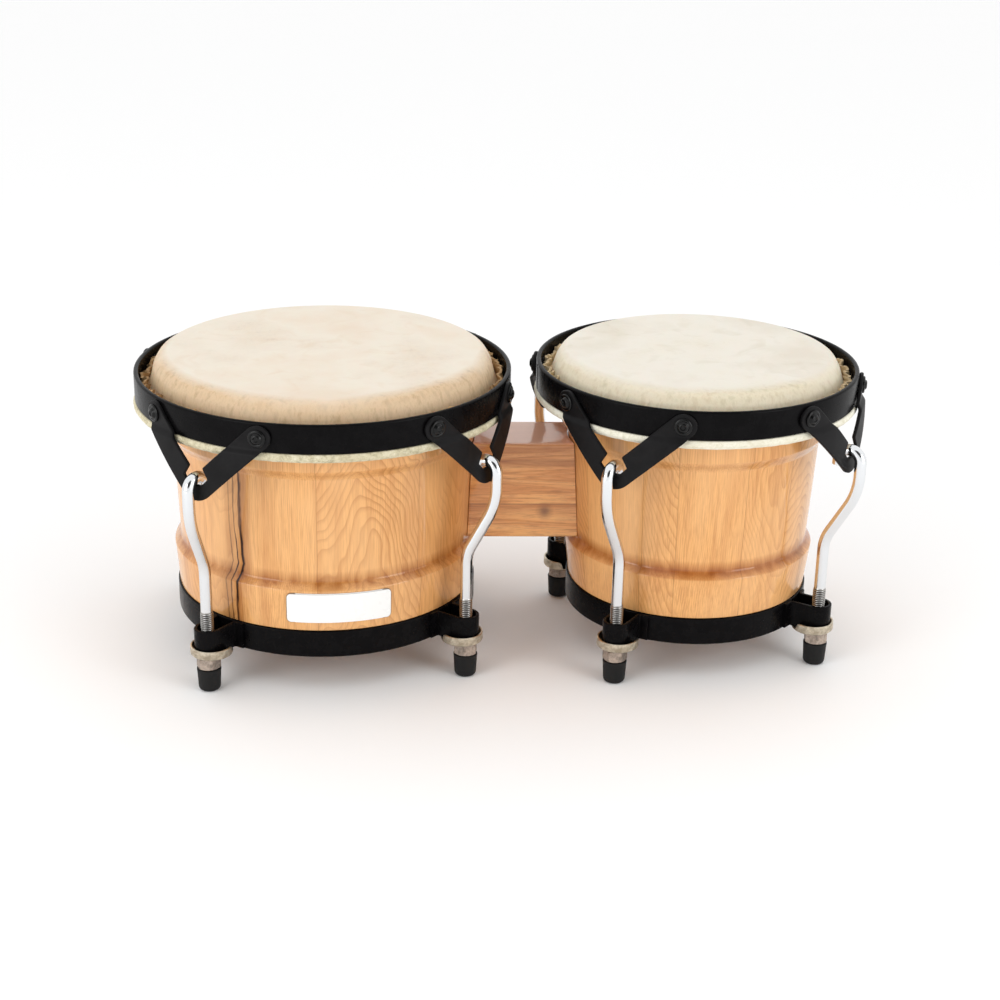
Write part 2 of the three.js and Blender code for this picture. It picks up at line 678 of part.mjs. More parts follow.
// A thin skin over the lower band, cut to the badge's outline.
function badgeGeometry(drum) {
  const lower = [drum.ringRadius - RING_REBATE + FIT_GAP, RING_TOP + FIT_GAP];
  const upper = [drum.bandRadius + FIT_GAP, BAND_TOP];
  const film = turned([
    [lower[0] + BADGE_WALL, lower[1]],
    [upper[0] + BADGE_WALL, upper[1]],
    upper,
    lower,
  ], ROUND_SIDES);
  const facing = new THREE.Matrix4().makeBasis(
    new THREE.Vector3(0, 1, 0),
    new THREE.Vector3(0, 0, 1),
    new THREE.Vector3(1, 0, 0),
  );
  const outline = plate(badgeOutline(), 2 * drum.ringRadius, 2).applyMatrix4(facing);
  outline.translate(0, 0, BADGE_MIDDLE).rotateZ(degrees(BADGE_TURN));
  return geometryOf(solid(film).intersect(solid(outline)));
}

// ---- assembly ----

function piece(name, geometry, finish) {
  const mesh = new THREE.Mesh(geometry, FINISHES[finish]());
  mesh.name = name;
  return mesh;
}

// A copy of a piece turned about the drum's axis.
function turnedPiece(name, geometry, finish, turn) {
  const mesh = piece(name, geometry, finish);
  mesh.rotation.z = turn;
  return mesh;
}

// A copy of a piece set on a lug's rod, facing outwards.
function lugPiece(name, geometry, finish, drum, angle, height) {
  const mesh = turnedPiece(name, geometry, finish, angle);
  mesh.position.copy(onDrum(drum.lugRadius, angle, height));
  return mesh;
}

function drumGroup(size) {
  const drum = DRUMS[size];
  const group = new THREE.Group();
  group.add(
    piece(`${size}_shell`, shellGeometry(drum), 'shell'),
    piece(`${size}_head`, headGeometry(drum), 'rawhide'),
    piece(`${size}_flesh_hoop`, fleshHoopGeometry(drum), 'lappedSkin'),
    piece(`${size}_tension_hoop`, hoopGeometry(drum), 'blackSteel'),
    piece(`${size}_bottom_ring`, ringGeometry(drum), 'blackSteel'),
  );
  const hookPlate = hookPlateGeometry(drum);
  const rod = rodGeometry(drum);
  lugAngles(drum).forEach((angle, place) => {
    const turn = (2 * Math.PI * place) / RODS_PER_DRUM;
    const number = place + 1;
    group.add(
      turnedPiece(`${size}_hook_plate_${number}`, hookPlate, 'blackSteel', turn),
      turnedPiece(`${size}_tuning_rod_${number}`, rod, 'chrome', turn),
      lugPiece(`${size}_saucer_${number}`, saucerGeometry(), 'nickel', drum, angle, SAUCER_BASE),
      lugPiece(`${size}_nut_${number}`, nutGeometry(), 'nickel', drum, angle, NUT_BASE),
      lugPiece(`${size}_foot_${number}`, footGeometry(), 'rubber', drum, angle, 0),
    );
  });
  boltHeights().forEach((height, place) => {
    const turn = drum.towardsBlock > 0 ? 0 : Math.PI;
    const side = place === 0 ? 'lower' : 'upper';
    const bolt = turnedPiece(`${size}_block_bolt_${side}`, boltGeometry(drum, height), 'zinc', turn);
    const washer = turnedPiece(`${size}_bolt_washer_${side}`, boltWasherGeometry(drum, height), 'zinc', turn);
    bolt.position.z = height;
    washer.position.z = height;
    group.add(bolt, washer);
  });
  return group;
}

const bongos = new THREE.Group();
const largeDrum = drumGroup('large');
largeDrum.add(piece('badge', badgeGeometry(DRUMS.large), 'badge'));
const smallDrum = drumGroup('small');
smallDrum.position.x = DRUM_SPACING;
bongos.add(largeDrum, smallDrum, piece('centre_block', blockGeometry(), 'block'));

// The origin is the middle of the pair on the floor.
const bounds = new THREE.Box3().setFromObject(bongos);
const middle = bounds.getCenter(new THREE.Vector3());
bongos.position.set(-middle.x, -middle.y, -bounds.min.z);

export default bongos;
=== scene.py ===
import math
from functools import partial

import bmesh
import bpy
import numpy as np
from mathutils import Matrix, Vector, noise


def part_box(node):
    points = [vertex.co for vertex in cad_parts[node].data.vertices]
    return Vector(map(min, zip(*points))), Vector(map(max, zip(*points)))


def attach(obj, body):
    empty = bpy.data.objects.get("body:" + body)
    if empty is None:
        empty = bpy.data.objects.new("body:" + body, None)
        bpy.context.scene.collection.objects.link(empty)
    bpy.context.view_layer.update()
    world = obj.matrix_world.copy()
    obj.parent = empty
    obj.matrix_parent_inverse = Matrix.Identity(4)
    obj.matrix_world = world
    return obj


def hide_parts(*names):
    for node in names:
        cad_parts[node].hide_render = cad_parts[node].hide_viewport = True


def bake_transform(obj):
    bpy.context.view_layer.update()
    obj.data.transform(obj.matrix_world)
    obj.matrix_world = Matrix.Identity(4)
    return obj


# A pair of bongo drums. Sizes below are in millimetres, as a drum maker would write them;
# Blender works in metres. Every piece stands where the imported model's boxes say.

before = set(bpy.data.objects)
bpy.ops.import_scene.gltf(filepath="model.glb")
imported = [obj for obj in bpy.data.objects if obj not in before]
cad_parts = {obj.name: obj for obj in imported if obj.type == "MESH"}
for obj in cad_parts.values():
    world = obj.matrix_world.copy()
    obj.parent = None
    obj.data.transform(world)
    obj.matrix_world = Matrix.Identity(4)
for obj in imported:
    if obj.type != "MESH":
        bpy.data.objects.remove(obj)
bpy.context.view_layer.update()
MM = 0.001
TURN = 2 * math.pi

# ---- sizes ----

RODS = 4
HEAD_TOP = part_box("large_head")[1].z / MM
DRUMS = {
    "large": {
        "head": 99, "ring": 93.3, "band_proud": 0.9, "cove": 4, "taper": 2.4, "waist_wall": 4.6,
        "base_wall": 14.2, "lug_reach": 15.5, "lug_turn": 52.3, "plate_turn": 55, "block": 1,
        "seams": (7, 41, 75, 109, 143, 177, 205, 240, 269.4, 309.4, 341.6),
        "tones": (0.5, 0.3, 0.6, 0.4, 0.7, 0.35, 0.6, 0.3, 0.35, 0.62, 0.65),
        "cuts": "fpfcqfcfqcp", "crack": 238.2, "weld": 271, "cove_stain": 0.0, "seed": 3.1, "trim_seed": 11.3,
    },
    "small": {
        "head": 83.2, "ring": 75.8, "band_proud": 1.8, "cove": 3.8, "taper": 3.7, "waist_wall": 5.5,
        "base_wall": 13.6, "lug_reach": 14.1, "lug_turn": 56.4, "plate_turn": 56.2, "block": -1,
        "seams": (15, 50, 85, 120, 155, 182, 208, 241, 257, 288, 313, 342),
        "tones": (0.4, 0.6, 0.35, 0.5, 0.3, 0.6, 0.42, 0.35, 0.42, 0.45, 0.35, 0.5),
        "cuts": "fqpcfqfpfcqf", "crack": None, "weld": 184, "cove_stain": 0.7, "seed": 8.7, "trim_seed": 4.9,
    },
}
# how each stave was sawn: sideways distance to the log's heart, depth to it, lean, fineness, strength
CUTS = {
    "f": (46, 8, 0.03, 1.6, 0.3),
    "q": (-6, 5, 0.42, 0.5, 0.62),
    "c": (12, 9, -0.25, 0.55, 0.42),
    "p": (24, 10, -0.4, 0.6, 0.45),
}
STAVE_STEP = 1.6
NO_CRACK = 60
SKIN = 1.2
CONE_INNER = 50
TRIM_FOLD = 5.6
TRIM_WALL = 1.5
CAP_HEIGHT = 14.3
CAP_RADIUS = 7.3
CAP_FLOOR = 4
NUT_HEIGHT = 7.2
NUT_FLATS = 13
BOLT_HEAD = 5.3
WASHER_RADIUS = 8.5
SAUCER_FLOOR = 1.5
SAUCER_HEIGHT = 6.4
SAUCER_RADIUS = 12.7
SAUCER_SHIFT = 2.8
EAR_SLOT = 6.1
EAR_WALL = 2
EAR_FLANGE = 5.4
THREAD = 4
THREAD_PITCH = 1.25
THREAD_LOW = 4.4
THREAD_TOP = 51.5
SHANK = 3.55
HOOK_BEND = 7
HOOK_TAIL = 3
HOOK_SEAT = 0.6
ROD_OUTER_BEND = 63
ROD_INNER_BEND = 97
HOOP_WALL = 3
PLATE_WALL = 2.2
PLATE_HALF_SPAN = 38
PLATE_SOFT = 0.45
RIVET_DEPTH = 8.6
RIVET_RADIUS = 5.2
LEG_HALF_WIDTH = 7.3
APEX_DEPTH = 45.5
APEX_ROUND = 12.4
NOTCH_DEPTH = 41.2
JOGGLE = 2.4
LEAN = 1.8
RING_WALL = 2.2
RING_LIP = 7
BAND_TOP = 66
COVE_MIDDLE = 70.4
WAIST_BASE = 72
WAIST_TOP = 135
UPPER_BAND = 143
UPPER_COVE = 140
BLOCK_EASE = 0.35
BADGE_WIDTH = 63
BADGE_WALL = 0.8
BADGE_CORNER = 3
BADGE_TURN = 277.2
GAP = 0.3

for size, drum in DRUMS.items():
    for piece, low_key, high_key, radius_key in (
            ("tension_hoop", "hoop_low", "hoop_top", "hoop"),
            ("flesh_hoop", "flesh_low", "flesh_high", "flesh"),
            ("bottom_ring", "ring_low", "ring_top", "ring_reach")):
        low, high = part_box(f"{size}_{piece}")
        drum[low_key], drum[high_key] = low.z / MM, high.z / MM
        drum[radius_key] = (high.x - low.x) / 2 / MM
        drum.setdefault("axis", Vector(((low.x + high.x) / 2, (low.y + high.y) / 2, 0)))
    drum["hoop_height"] = drum["hoop_top"] - drum["hoop_low"]
    drum["band"] = drum["ring"] + drum["band_proud"]
    drum["waist_base"] = drum["band"] - drum["cove"]
    drum["waist_top"] = drum["waist_base"] + drum["taper"]
    drum["bore_top"] = drum["waist_top"] - drum["waist_wall"]
    drum["bore_base"] = drum["band"] - drum["base_wall"]
    drum["lug"] = drum["band"] + drum["lug_reach"]
    drum["shell_top"] = HEAD_TOP - SKIN - GAP
    drum["shell_base"] = drum["ring_low"] + RING_WALL + GAP
    drum["joggle_start"] = drum["hoop_height"] - 2.4
    drum["joggle_end"] = drum["hoop_height"] + 1.4


# ---- mesh helpers ----

def rounded(points, radii, steps=5):
    """A 2D line whose corners are rounded; a corner with radius 0 stays sharp."""
    out = []
    for i, (here, radius) in enumerate(zip(points, radii)):
        here = np.array(here, float)
        if not radius:
            out.append(tuple(here))
            continue
        back = np.array(points[i - 1], float) - here
        ahead = np.array(points[(i + 1) % len(points)], float) - here
        back_length, ahead_length = np.linalg.norm(back), np.linalg.norm(ahead)
        back, ahead = back / back_length, ahead / ahead_length
        half = math.acos(max(-1, min(1, float(back @ ahead)))) / 2
        reach = min(radius / math.tan(half), 0.49 * back_length, 0.49 * ahead_length)
        start, end = here + back * reach, here + ahead * reach
        for t in (step / steps for step in range(steps + 1)):
            out.append(tuple((1 - t) ** 2 * start + 2 * t * (1 - t) * here + t * t * end))
    return out


def close_rows(profile, spacing):
    """Adds rows to a profile's long runs."""
    out = []
    for here, there in zip(profile, profile[1:] + profile[:1]):
        steps = int(math.dist(here, there) // spacing) + 1
        out.extend(tuple(np.array(here) + (np.array(there) - here) * k / steps) for k in range(steps))
    return out


def arc(centre, radius, start, end, steps):
    angles = [start + (end - start) * k / steps for k in range(steps + 1)]
    return [(centre[0] + radius * math.cos(a), centre[1] + radius * math.sin(a)) for a in angles]


def grid_faces(rows, columns, rows_close, columns_close):
    """Faces of a sheet of rows and columns of points, which may close on itself either way."""
    faces = []
    for row in range(rows if rows_close else rows - 1):
        for column in range(columns if columns_close else columns - 1):
            here, there = row * columns, (row + 1) % rows * columns
            across = (column + 1) % columns
            faces.append((here + column, here + across, there + across, there + column))
    return faces


def capped_faces(rows, columns):
    """Faces of a tube of rows, with both its ends filled."""
    ends = [tuple(reversed(range(columns))), tuple(range((rows - 1) * columns, rows * columns))]
    return grid_faces(rows, columns, False, True) + ends


def circle(sides):
    return np.arange(sides) * TURN / sides


def turned_points(profile, angles):
    """Rows of points: one row for each [radius, height] of the profile."""
    profile = np.array(profile, float)
    radius, height = profile[:, :1], profile[:, 1:]
    return np.stack([radius * np.cos(angles), radius * np.sin(angles), height + 0 * angles], axis=2)


def turned(profile, sides, solid=False):
    """A turned part: from a closed profile, or a solid one whose profile starts and ends on the axis."""
    points = turned_points(profile, circle(sides)).reshape(-1, 3)
    return points, capped_faces(len(profile), sides) if solid else grid_faces(len(profile), sides, True, True)


def new_piece(name, parts, crease=35):
    """One mesh piece from (points, faces) parts in millimetres, sharp where it bends more than crease."""
    points, faces = [], []
    for part_points, part_faces in parts:
        faces.extend(tuple(len(points) + i for i in face) for face in part_faces)
        points.extend(np.asarray(part_points, float).reshape(-1, 3).tolist())
    mesh = bpy.data.meshes.new(name)
    mesh.from_pydata([tuple(p) for p in np.array(points) * MM], [], faces)
    mesh.polygons.foreach_set("use_smooth", [True] * len(mesh.polygons))
    mesh.set_sharp_from_angle(angle=math.radians(crease))
    mesh.update()
    piece = bpy.data.objects.new(name, mesh)
    bpy.context.scene.collection.objects.link(piece)
    return piece


def place(piece, drum, turn=0.0):
    """Stands a piece on its drum's axis, turned about it."""
    piece.data.transform(Matrix.Rotation(turn, 4, "Z"))
    piece.location = drum["axis"]
    return piece


def finish_piece(piece, body, material, slot, *nodes):
    """Gives a piece its finish and its body, and hides the CAD nodes that it stands for. The slot is not
    used.
    """
    piece.data.materials.append(material)
    if nodes:
        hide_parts(*nodes)
    if body:
        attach(piece, body)


def mark(piece, name, values, domain="POINT", kind="FLOAT"):
    """Stores a value at each point or face corner for a finish to read."""
    layer = piece.data.attributes.new(name, kind, domain)
    values = np.asarray(values, np.float32).ravel()
    layer.data.foreach_set("vector" if kind == "FLOAT_VECTOR" else "value", values)


def unit(angle):
    return np.array([math.cos(angle), math.sin(angle), 0.0])


def swung(points, angle):
    """Points turned about Z."""
    x, y, z = np.array(points, float).T
    cos, sin = math.cos(angle), math.sin(angle)
    return np.stack([x * cos - y * sin, x * sin + y * cos, z], axis=1)


def wobble(x, y=0.0, z=0.0):
    """Smooth noise between about -1 and 1."""
    return noise.noise(Vector((x, y, z)))


def clamped(value, low=0, high=1):
    return min(high, max(low, value))


def eased(share):
    """A soft step: slow at both ends."""
    share = clamped(share)
    return share * share * (3 - 2 * share)


# ---- finishes ----

def linear(code):
    """An sRGB hex colour as linear light."""
    channels = [int(code[i:i + 2], 16) / 255 for i in (1, 3, 5)]
    return tuple(c / 12.92 if c <= 0.04045 else ((c + 0.055) / 1.055) ** 2.4 for c in channels) + (1.0,)


def add(tree, kind, inputs=None, stops=None, out=0, **settings):
    """Adds a node with its settings and what feeds it, and gives one of its outputs."""
    node = tree.nodes.new("ShaderNode" + kind)
    for key, value in settings.items():
        setattr(node, key, value)
    for key, value in (inputs or {}).items():
        if isinstance(value, bpy.types.NodeSocket):
            tree.links.new(value, node.inputs[key])
        else:
            node.inputs[key].default_value = linear(value) if isinstance(value, str) else value
    if stops:
        elements = node.color_ramp.elements
        while len(elements) < len(stops):
            elements.new(1)
        for element, (position, value) in zip(elements, stops):
            element.position = position
            element.color = linear(value) if isinstance(value, str) else (value, value, value, 1)
    return node.outputs[out]


def new_finish(name, **sockets):
    """A material, the way to add a node to it, and its surface with plain values set."""
    material = bpy.data.materials.new(name)
    material.use_nodes = True
    surface = material.node_tree.nodes["Principled BSDF"]
    for key, value in sockets.items():
        value = linear(value) if isinstance(value, str) else value
        surface.inputs[key.replace("_", " ")].default_value = value
    return material, partial(add, material.node_tree), surface


def feed(surface, **sources):
    """Links patterns to the surface's sockets."""
    for key, source in sources.items():
        surface.id_data.links.new(source, surface.inputs[key.replace("_", " ")])


def mottled(node, surface, marks, stops, rough, relief, strength, depth, span=(0.35, 0.7)):
    """Colour and roughness follow one pattern, and a fine relief another."""
    feed(
        surface,
        Base_Color=node("ValToRGB", {0: marks}, stops=stops),
        Roughness=node("MapRange", {0: marks, 1: span[0], 2: span[1], 3: rough[0], 4: rough[1]}),
        Normal=node("Bump", {"Strength": strength, "Distance": depth, "Height": relief}),
    )


def lacquered_staves():
    """Pale hardwood staves, turned and sprayed with clear lacquer: soft growth lines under a wet gloss."""
    material, node, surface = new_finish(
        "clear_lacquered_hardwood_staves", Roughness=0.42, IOR=1.5, Specular_IOR_Level=0.15,
        Coat_Weight=0.75, Coat_Roughness=0.05, Coat_IOR=1.5,
    )
    where = node("TexCoord", out="Object")
    tone, figure, seam, crack, cove = (
        node("Attribute", attribute_name=name, out="Fac")
        for name in ("tone", "figure", "seam", "crack", "cove"))
    board = node("Attribute", attribute_name="board", out="Vector")
    across, lean, depth = (node("SeparateXYZ", {0: board}, out=side) for side in "XYZ")
    # growth lines: distance from the heart of the log, with a wander of a few millimetres
    slow = node("Mapping", {"Vector": where, "Scale": (1, 1, 0.4)})
    wander = node("TexNoise", {"Vector": slow, "Scale": 30, "Detail": 2.5, "Roughness": 0.42})
    squares = [node("Math", {0: side, 1: 2.0}, operation="POWER") for side in (across, depth)]
    ring = node("Math", {0: node("Math", {0: squares[0], 1: squares[1]}), 1: 0.5}, operation="POWER")
    tilted = node("Math", {0: ring, 1: lean})
    wavy = node("Math", {0: wander, 1: 24.0, 2: tilted}, operation="MULTIPLY_ADD")
    # one growth ring is about 2 mm
    phase = node("Math", {0: wavy, 1: 0.5}, operation="MULTIPLY")
    late = node("ValToRGB", {0: node("Math", {0: phase}, operation="FRACT")},
                stops=[(0, 0.12), (0.5, 0.16), (0.82, 0.7), (0.9, 0.95), (0.96, 0.6), (1, 0.12)])
    # fibres: 0.4 mm wide and about 25 mm long
    drawn = node("Mapping", {"Vector": where, "Scale": (1, 1, 0.018)})
    fibre = node("TexNoise", {"Vector": drawn, "Scale": 1300, "Detail": 3, "Roughness": 0.65})
    broad = node("TexNoise", {"Vector": drawn, "Scale": 170, "Detail": 3})
    cloud = node("TexNoise", {"Vector": slow, "Scale": 26, "Detail": 3})
    # drying cracks beside one glue line: pale wood between dark wandering lines, browner on one side
    stray = node("TexNoise", {"Vector": slow, "Scale": 45, "Detail": 4, "Roughness": 0.6})
    strayed = node("Math", {0: stray, 1: 7.0, 2: crack}, operation="MULTIPLY_ADD")
    reach = node("MapRange", {0: strayed, 1: -6.5, 2: 13.5})
    stain = node("ValToRGB", {0: reach}, stops=[
        (0, 0.0), (0.25, 0.25), (0.45, 0.2), (0.58, 0.25), (0.64, 0.75), (0.8, 0.5), (1, 0.0)])
    split = node("ValToRGB", {0: reach}, stops=[
        (0.24, 0.0), (0.27, 0.8), (0.3, 0.0), (0.42, 0.0), (0.44, 1.0), (0.46, 0.9), (0.48, 0.0),
        (0.585, 0.0), (0.61, 1.0), (0.65, 1.0), (0.67, 0.35), (0.7, 0.0)])
    gape = node("MapRange", {0: stray, 1: 0.4, 2: 0.66, 3: 1.25, 4: 0.6})
    wood = node("ValToRGB", {0: tone}, stops=[(0, "#F5BF80"), (0.5, "#EBAF6C"), (1, "#CB8445")])
    for share, colour in (
        (node("Math", {0: late, 1: figure}, operation="MULTIPLY"), "#AC6526"),
        (node("MapRange", {0: fibre, 1: 0.44, 2: 0.72, 4: 0.5}), "#A96A34"),
        (node("MapRange", {0: broad, 1: 0.44, 2: 0.68, 4: 0.42}), "#C07E44"),
        (node("MapRange", {0: cloud, 1: 0.42, 2: 0.7, 4: 0.4}), "#F4C48C"),
        # glue lines between staves, hair-thin
        (node("MapRange", {0: seam, 1: 0.08, 2: 0.4, 3: 0.4, 4: 0.0}), "#8E5A2C"),
        (stain, "#A25F2B"),
        (node("Math", {0: split, 1: gape}, operation="MULTIPLY", use_clamp=True), "#2A1103"),
    ):
        wood = node("MixRGB", {0: share, 1: wood, 2: colour})
    # the coves cut across the grain and drank more lacquer, so they are browner; painted shade darkens them
    # further where they turn down, away from the light
    cove_patches = node("Math", {0: broad, 1: 1.7, 2: 0.0}, operation="MULTIPLY_ADD")
    cove_shade_and_stain = node("Math", {0: cove, 1: cove_patches}, operation="MULTIPLY")
    lumps = node("TexNoise", {"Vector": where, "Scale": 60, "Detail": 1})
    feed(
        surface,
        Base_Color=node("MixRGB", {0: cove_shade_and_stain, 1: wood, 2: "#C6A97F"}, blend_type="MULTIPLY"),
        Normal=node("Bump", {"Strength": 0.15, "Distance": 0.0001, "Height": fibre}),
        Coat_Normal=node("Bump", {"Strength": 0.25, "Distance": 0.0004, "Height": lumps}),
    )
    return material


def lacquered_block():
    """Reddish hardwood, planed and lacquered: straight broken dark grain along the block."""
    material, node, surface = new_finish(
        "clear_lacquered_red_hardwood", Roughness=0.4, IOR=1.5, Specular_IOR_Level=0.2,
        Coat_Weight=1.0, Coat_Roughness=0.1, Coat_IOR=1.5,
    )
    where = node("TexCoord", out="Object")
    height = node("SeparateXYZ", {0: where}, out="Z")
    # pores 0.5 mm across and about 8 mm long, running along X
    drawn = node("Mapping", {"Vector": where, "Scale": (0.07, 1, 1)})
    fine = node("TexNoise", {"Vector": drawn, "Scale": 1500, "Detail": 4, "Roughness": 0.7})
    streaks = node("TexNoise", {"Vector": drawn, "Scale": 620, "Detail": 5, "Roughness": 0.65})
    bands = node("TexNoise", {"Vector": drawn, "Scale": 150, "Detail": 4, "Distortion": 0.6})
    # two darker bands of the board, above and below a glue line at 8.8 mm under its middle
    upper = node("ValToRGB", {0: node("MapRange", {0: height, 1: 0.014, 2: 0.0308})}, stops=[
        (0, 0.0), (0.18, 0.4), (0.34, 0.6), (0.44, 0.15), (0.7, 0.4), (0.96, 0.3), (0.985, 0.0)])
    glue = node("Math", {0: height, 1: -0.0088, 2: 0.00035}, operation="COMPARE")
    lower = node("ValToRGB", {0: node("MapRange", {0: height, 1: -0.022, 2: -0.0088})}, stops=[
        (0, 0.0), (0.35, 0.1), (0.8, 0.35), (0.99, 0.4), (1, 0.0)])
    # a small knot on the front face
    from_knot = node("VectorMath", {0: where, 1: (0.0135, -0.0207, -0.0135)}, operation="SUBTRACT")
    oval = node("VectorMath", {0: from_knot, 1: (0.85, 0.2, 0.8)}, operation="MULTIPLY")
    reach = node("VectorMath", {0: oval}, operation="LENGTH", out="Value")
    ragged = node("Math", {0: fine, 1: 0.003, 2: reach}, operation="MULTIPLY_ADD")
    knot = node("ValToRGB", {0: node("MapRange", {0: ragged, 1: 0.0012, 2: 0.0068})}, stops=[
        (0, 0.85), (0.3, 0.65), (0.6, 0.3), (1, 0.0)])
    # painted highlight: the top face is mixed towards pale pink to stand in for the light it catches and
    # reflects
    lit_top_highlight = node("Math", {0: height, 1: 0.0303}, operation="GREATER_THAN")
    wood = node("ValToRGB", {0: bands}, stops=[
        (0.34, "#F2B672"), (0.48, "#E8A560"), (0.56, "#D08847"), (0.66, "#ECAC67")])
    for share, colour in (
        (node("MapRange", {0: streaks, 1: 0.5, 2: 0.68, 4: 0.5}), "#96552B"),
        (node("MapRange", {0: fine, 1: 0.52, 2: 0.75, 4: 0.6}), "#7C421F"),
        (upper, "#8C4B24"),
        (node("Math", {0: glue, 1: 0.6}, operation="MULTIPLY"), "#6E3A1C"),
        (lower, "#A4622F"),
        (knot, "#63351A"),
        (node("Math", {0: lit_top_highlight, 1: 0.9}, operation="MULTIPLY"), "#FFCDB0"),
    ):
        wood = node("MixRGB", {0: share, 1: wood, 2: colour})
    waves = node("TexNoise", {"Vector": where, "Scale": 90, "Detail": 2})
    feed(
        surface,
        Base_Color=wood,
        Normal=node("Bump", {"Strength": 0.25, "Distance": 0.0001, "Height": fine}),
        Coat_Normal=node("Bump", {"Strength": 0.3, "Distance": 0.0006, "Height": waves}),
    )
    return material


def powder_coat(name, base, worn, roughness, gloss):
    """Black polyester powder baked on steel: near-black satin with a fine orange-peel texture."""
    material, node, surface = new_finish(name, IOR=1.5, Specular_IOR_Level=gloss)
    where = node("TexCoord", out="Object")
    # the powder's texture is about 0.6 mm from bump to bump
    peel = node("TexNoise", {"Vector": where, "Scale": 1500, "Detail": 2})
    scuffs = node("TexNoise", {"Vector": where, "Scale": 120, "Detail": 4, "Roughness": 0.65})
    mottled(node, surface, scuffs, [(0.35, base), (0.75, worn)], (roughness - 0.05, roughness + 0.07),
            peel, 0.25, 0.00004, (0.3, 0.7))
    return material


def chrome_plate():
    """Drawn steel rod, polished and chrome plated: a mirror with faint haze and a few fine marks."""
    material, node, surface = new_finish("polished_chrome_plate", Metallic=1.0, Base_Color="#E4E6E8")
    drawn = node("Mapping", {"Vector": node("TexCoord", out="Object"), "Scale": (1, 1, 0.06)})
    marks = node("TexNoise", {"Vector": drawn, "Scale": 900, "Detail": 3})
    feed(
        surface,
        Roughness=node("MapRange", {0: marks, 1: 0.35, 2: 0.7, 3: 0.06, 4: 0.15}),
        Normal=node("Bump", {"Strength": 0.12, "Distance": 0.00003, "Height": marks}),
    )
    return material


def rolled_thread():
    """Rolled thread on the rod's end, zinc-grey and darker in the roots of the thread."""
    material, node, surface = new_finish("rolled_steel_thread", Metallic=1.0)
    root = node("Attribute", attribute_name="root", out="Fac")
    feed(
        surface,
        Base_Color=node("ValToRGB", {0: root}, stops=[(0, "#C2C1BF"), (0.4, "#8D8A85"), (1, "#242120")]),
        Roughness=node("MapRange", {0: root, 3: 0.22, 4: 0.5}),
    )
    return material


def nickel_plate(name, pale, dull, rough):
    """Cheap plate on pressed steel: grey, clouded and slightly stained."""
    material, node, surface = new_finish(name, Metallic=1.0)
    where = node("TexCoord", out="Object")
    stains = node("TexNoise", {"Vector": where, "Scale": 260, "Detail": 5, "Roughness": 0.65})
    specks = node("TexNoise", {"Vector": where, "Scale": 1100, "Detail": 3})
    mottled(node, surface, stains, [(0.36, pale), (0.62, dull)], rough, specks, 0.35, 0.00005, (0.35, 0.65))
    return material


def moulded_rubber():
    """Black rubber caps, compression moulded: matt, a little dusty."""
    material, node, surface = new_finish("moulded_black_rubber", IOR=1.52, Specular_IOR_Level=0.22)
    where = node("TexCoord", out="Object")
    dust = node("TexNoise", {"Vector": where, "Scale": 300, "Detail": 4, "Roughness": 0.7})
    mottled(node, surface, dust, [(0.4, "#101010"), (0.75, "#1E1D1D")], (0.5, 0.75), dust, 0.3, 0.00008)
    return material


def stretched_rawhide(name, face, skirt, blotch, seed):
    """Buffalo rawhide, soaked, stretched and dried: cream face, tan streaked skirt, faint blotches."""
    material, node, surface = new_finish(
        name, Roughness=0.5, IOR=1.45, Subsurface_Weight=0.12, Subsurface_Scale=0.002)
    shifted = node("Mapping", {"Vector": node("TexCoord", out="Object"), "Location": (seed, seed * 2.3, 0)})
    cloud = node("TexNoise", {"Vector": shifted, "Scale": 17, "Detail": 5, "Roughness": 0.55})
    veins = node("TexNoise", {"Vector": shifted, "Scale": 42, "Detail": 6, "Distortion": 1.4})
    pores = node("TexNoise", {"Vector": shifted, "Scale": 1500, "Detail": 3})
    tall = node("Mapping", {"Vector": shifted, "Scale": (1, 1, 0.3)})
    streaks = node("TexNoise", {"Vector": tall, "Scale": 170, "Detail": 5, "Roughness": 0.7})
    # the skirt's tan creeps into the face with a cloudy border; the tan is partly the skin's own colour and
    # partly painted shade
    down = node("Attribute", attribute_name="skirt", out="Fac")
    uneven = node("Math", {0: cloud, 1: 1.3, 2: down}, operation="MULTIPLY_ADD")
    drop = node("MapRange", {0: uneven, 1: 0.66, 2: 1.25})
    flat, side = (node("ValToRGB", {0: pattern}, stops=list(zip((0.3, 0.5, 0.68), colours)))
                  for pattern, colours in ((cloud, face), (streaks, skirt)))
    vein_share = node("MapRange", {0: veins, 1: 0.56, 2: 0.72, 4: 0.3})
    veined = node("MixRGB", {0: vein_share, 1: flat, 2: blotch})
    bump = node("Bump", {"Strength": 0.22, "Distance": 0.00012, "Height": pores})
    feed(
        surface,
        Base_Color=node("MixRGB", {0: drop, 1: veined, 2: side}),
        Normal=node("Bump", {"Strength": 0.2, "Distance": 0.0012, "Height": veins, "Normal": bump}),
    )
    return material


def lapped_rawhide(name, colours, fleck):
    """The skin's edge lapped round the flesh hoop: scraped, fuzzy and speckled."""
    material, node, surface = new_finish(name, Roughness=0.72, IOR=1.45)
    where = node("TexCoord", out="Object")
    mottle = node("TexNoise", {"Vector": where, "Scale": 330, "Detail": 5, "Roughness": 0.7})
    specks = node("TexNoise", {"Vector": where, "Scale": 900, "Detail": 4, "Roughness": 0.75})
    slow = node("TexNoise", {"Vector": where, "Scale": 40, "Detail": 3})
    skin = node("ValToRGB", {0: mottle}, stops=list(zip((0.3, 0.5, 0.7), colours)))
    for share, colour in (
        (node("MapRange", {0: specks, 1: 0.55, 2: 0.7, 4: 0.6}), fleck),
        (node("MapRange", {0: slow, 1: 0.45, 2: 0.7, 4: 0.4}), "#CDC1A1"),
    ):
        skin = node("MixRGB", {0: share, 1: skin, 2: colour})
    bump = node("Bump", {"Strength": 0.6, "Distance": 0.0003, "Height": mottle})
    feed(surface, Base_Color=skin, Normal=bump)
    return material


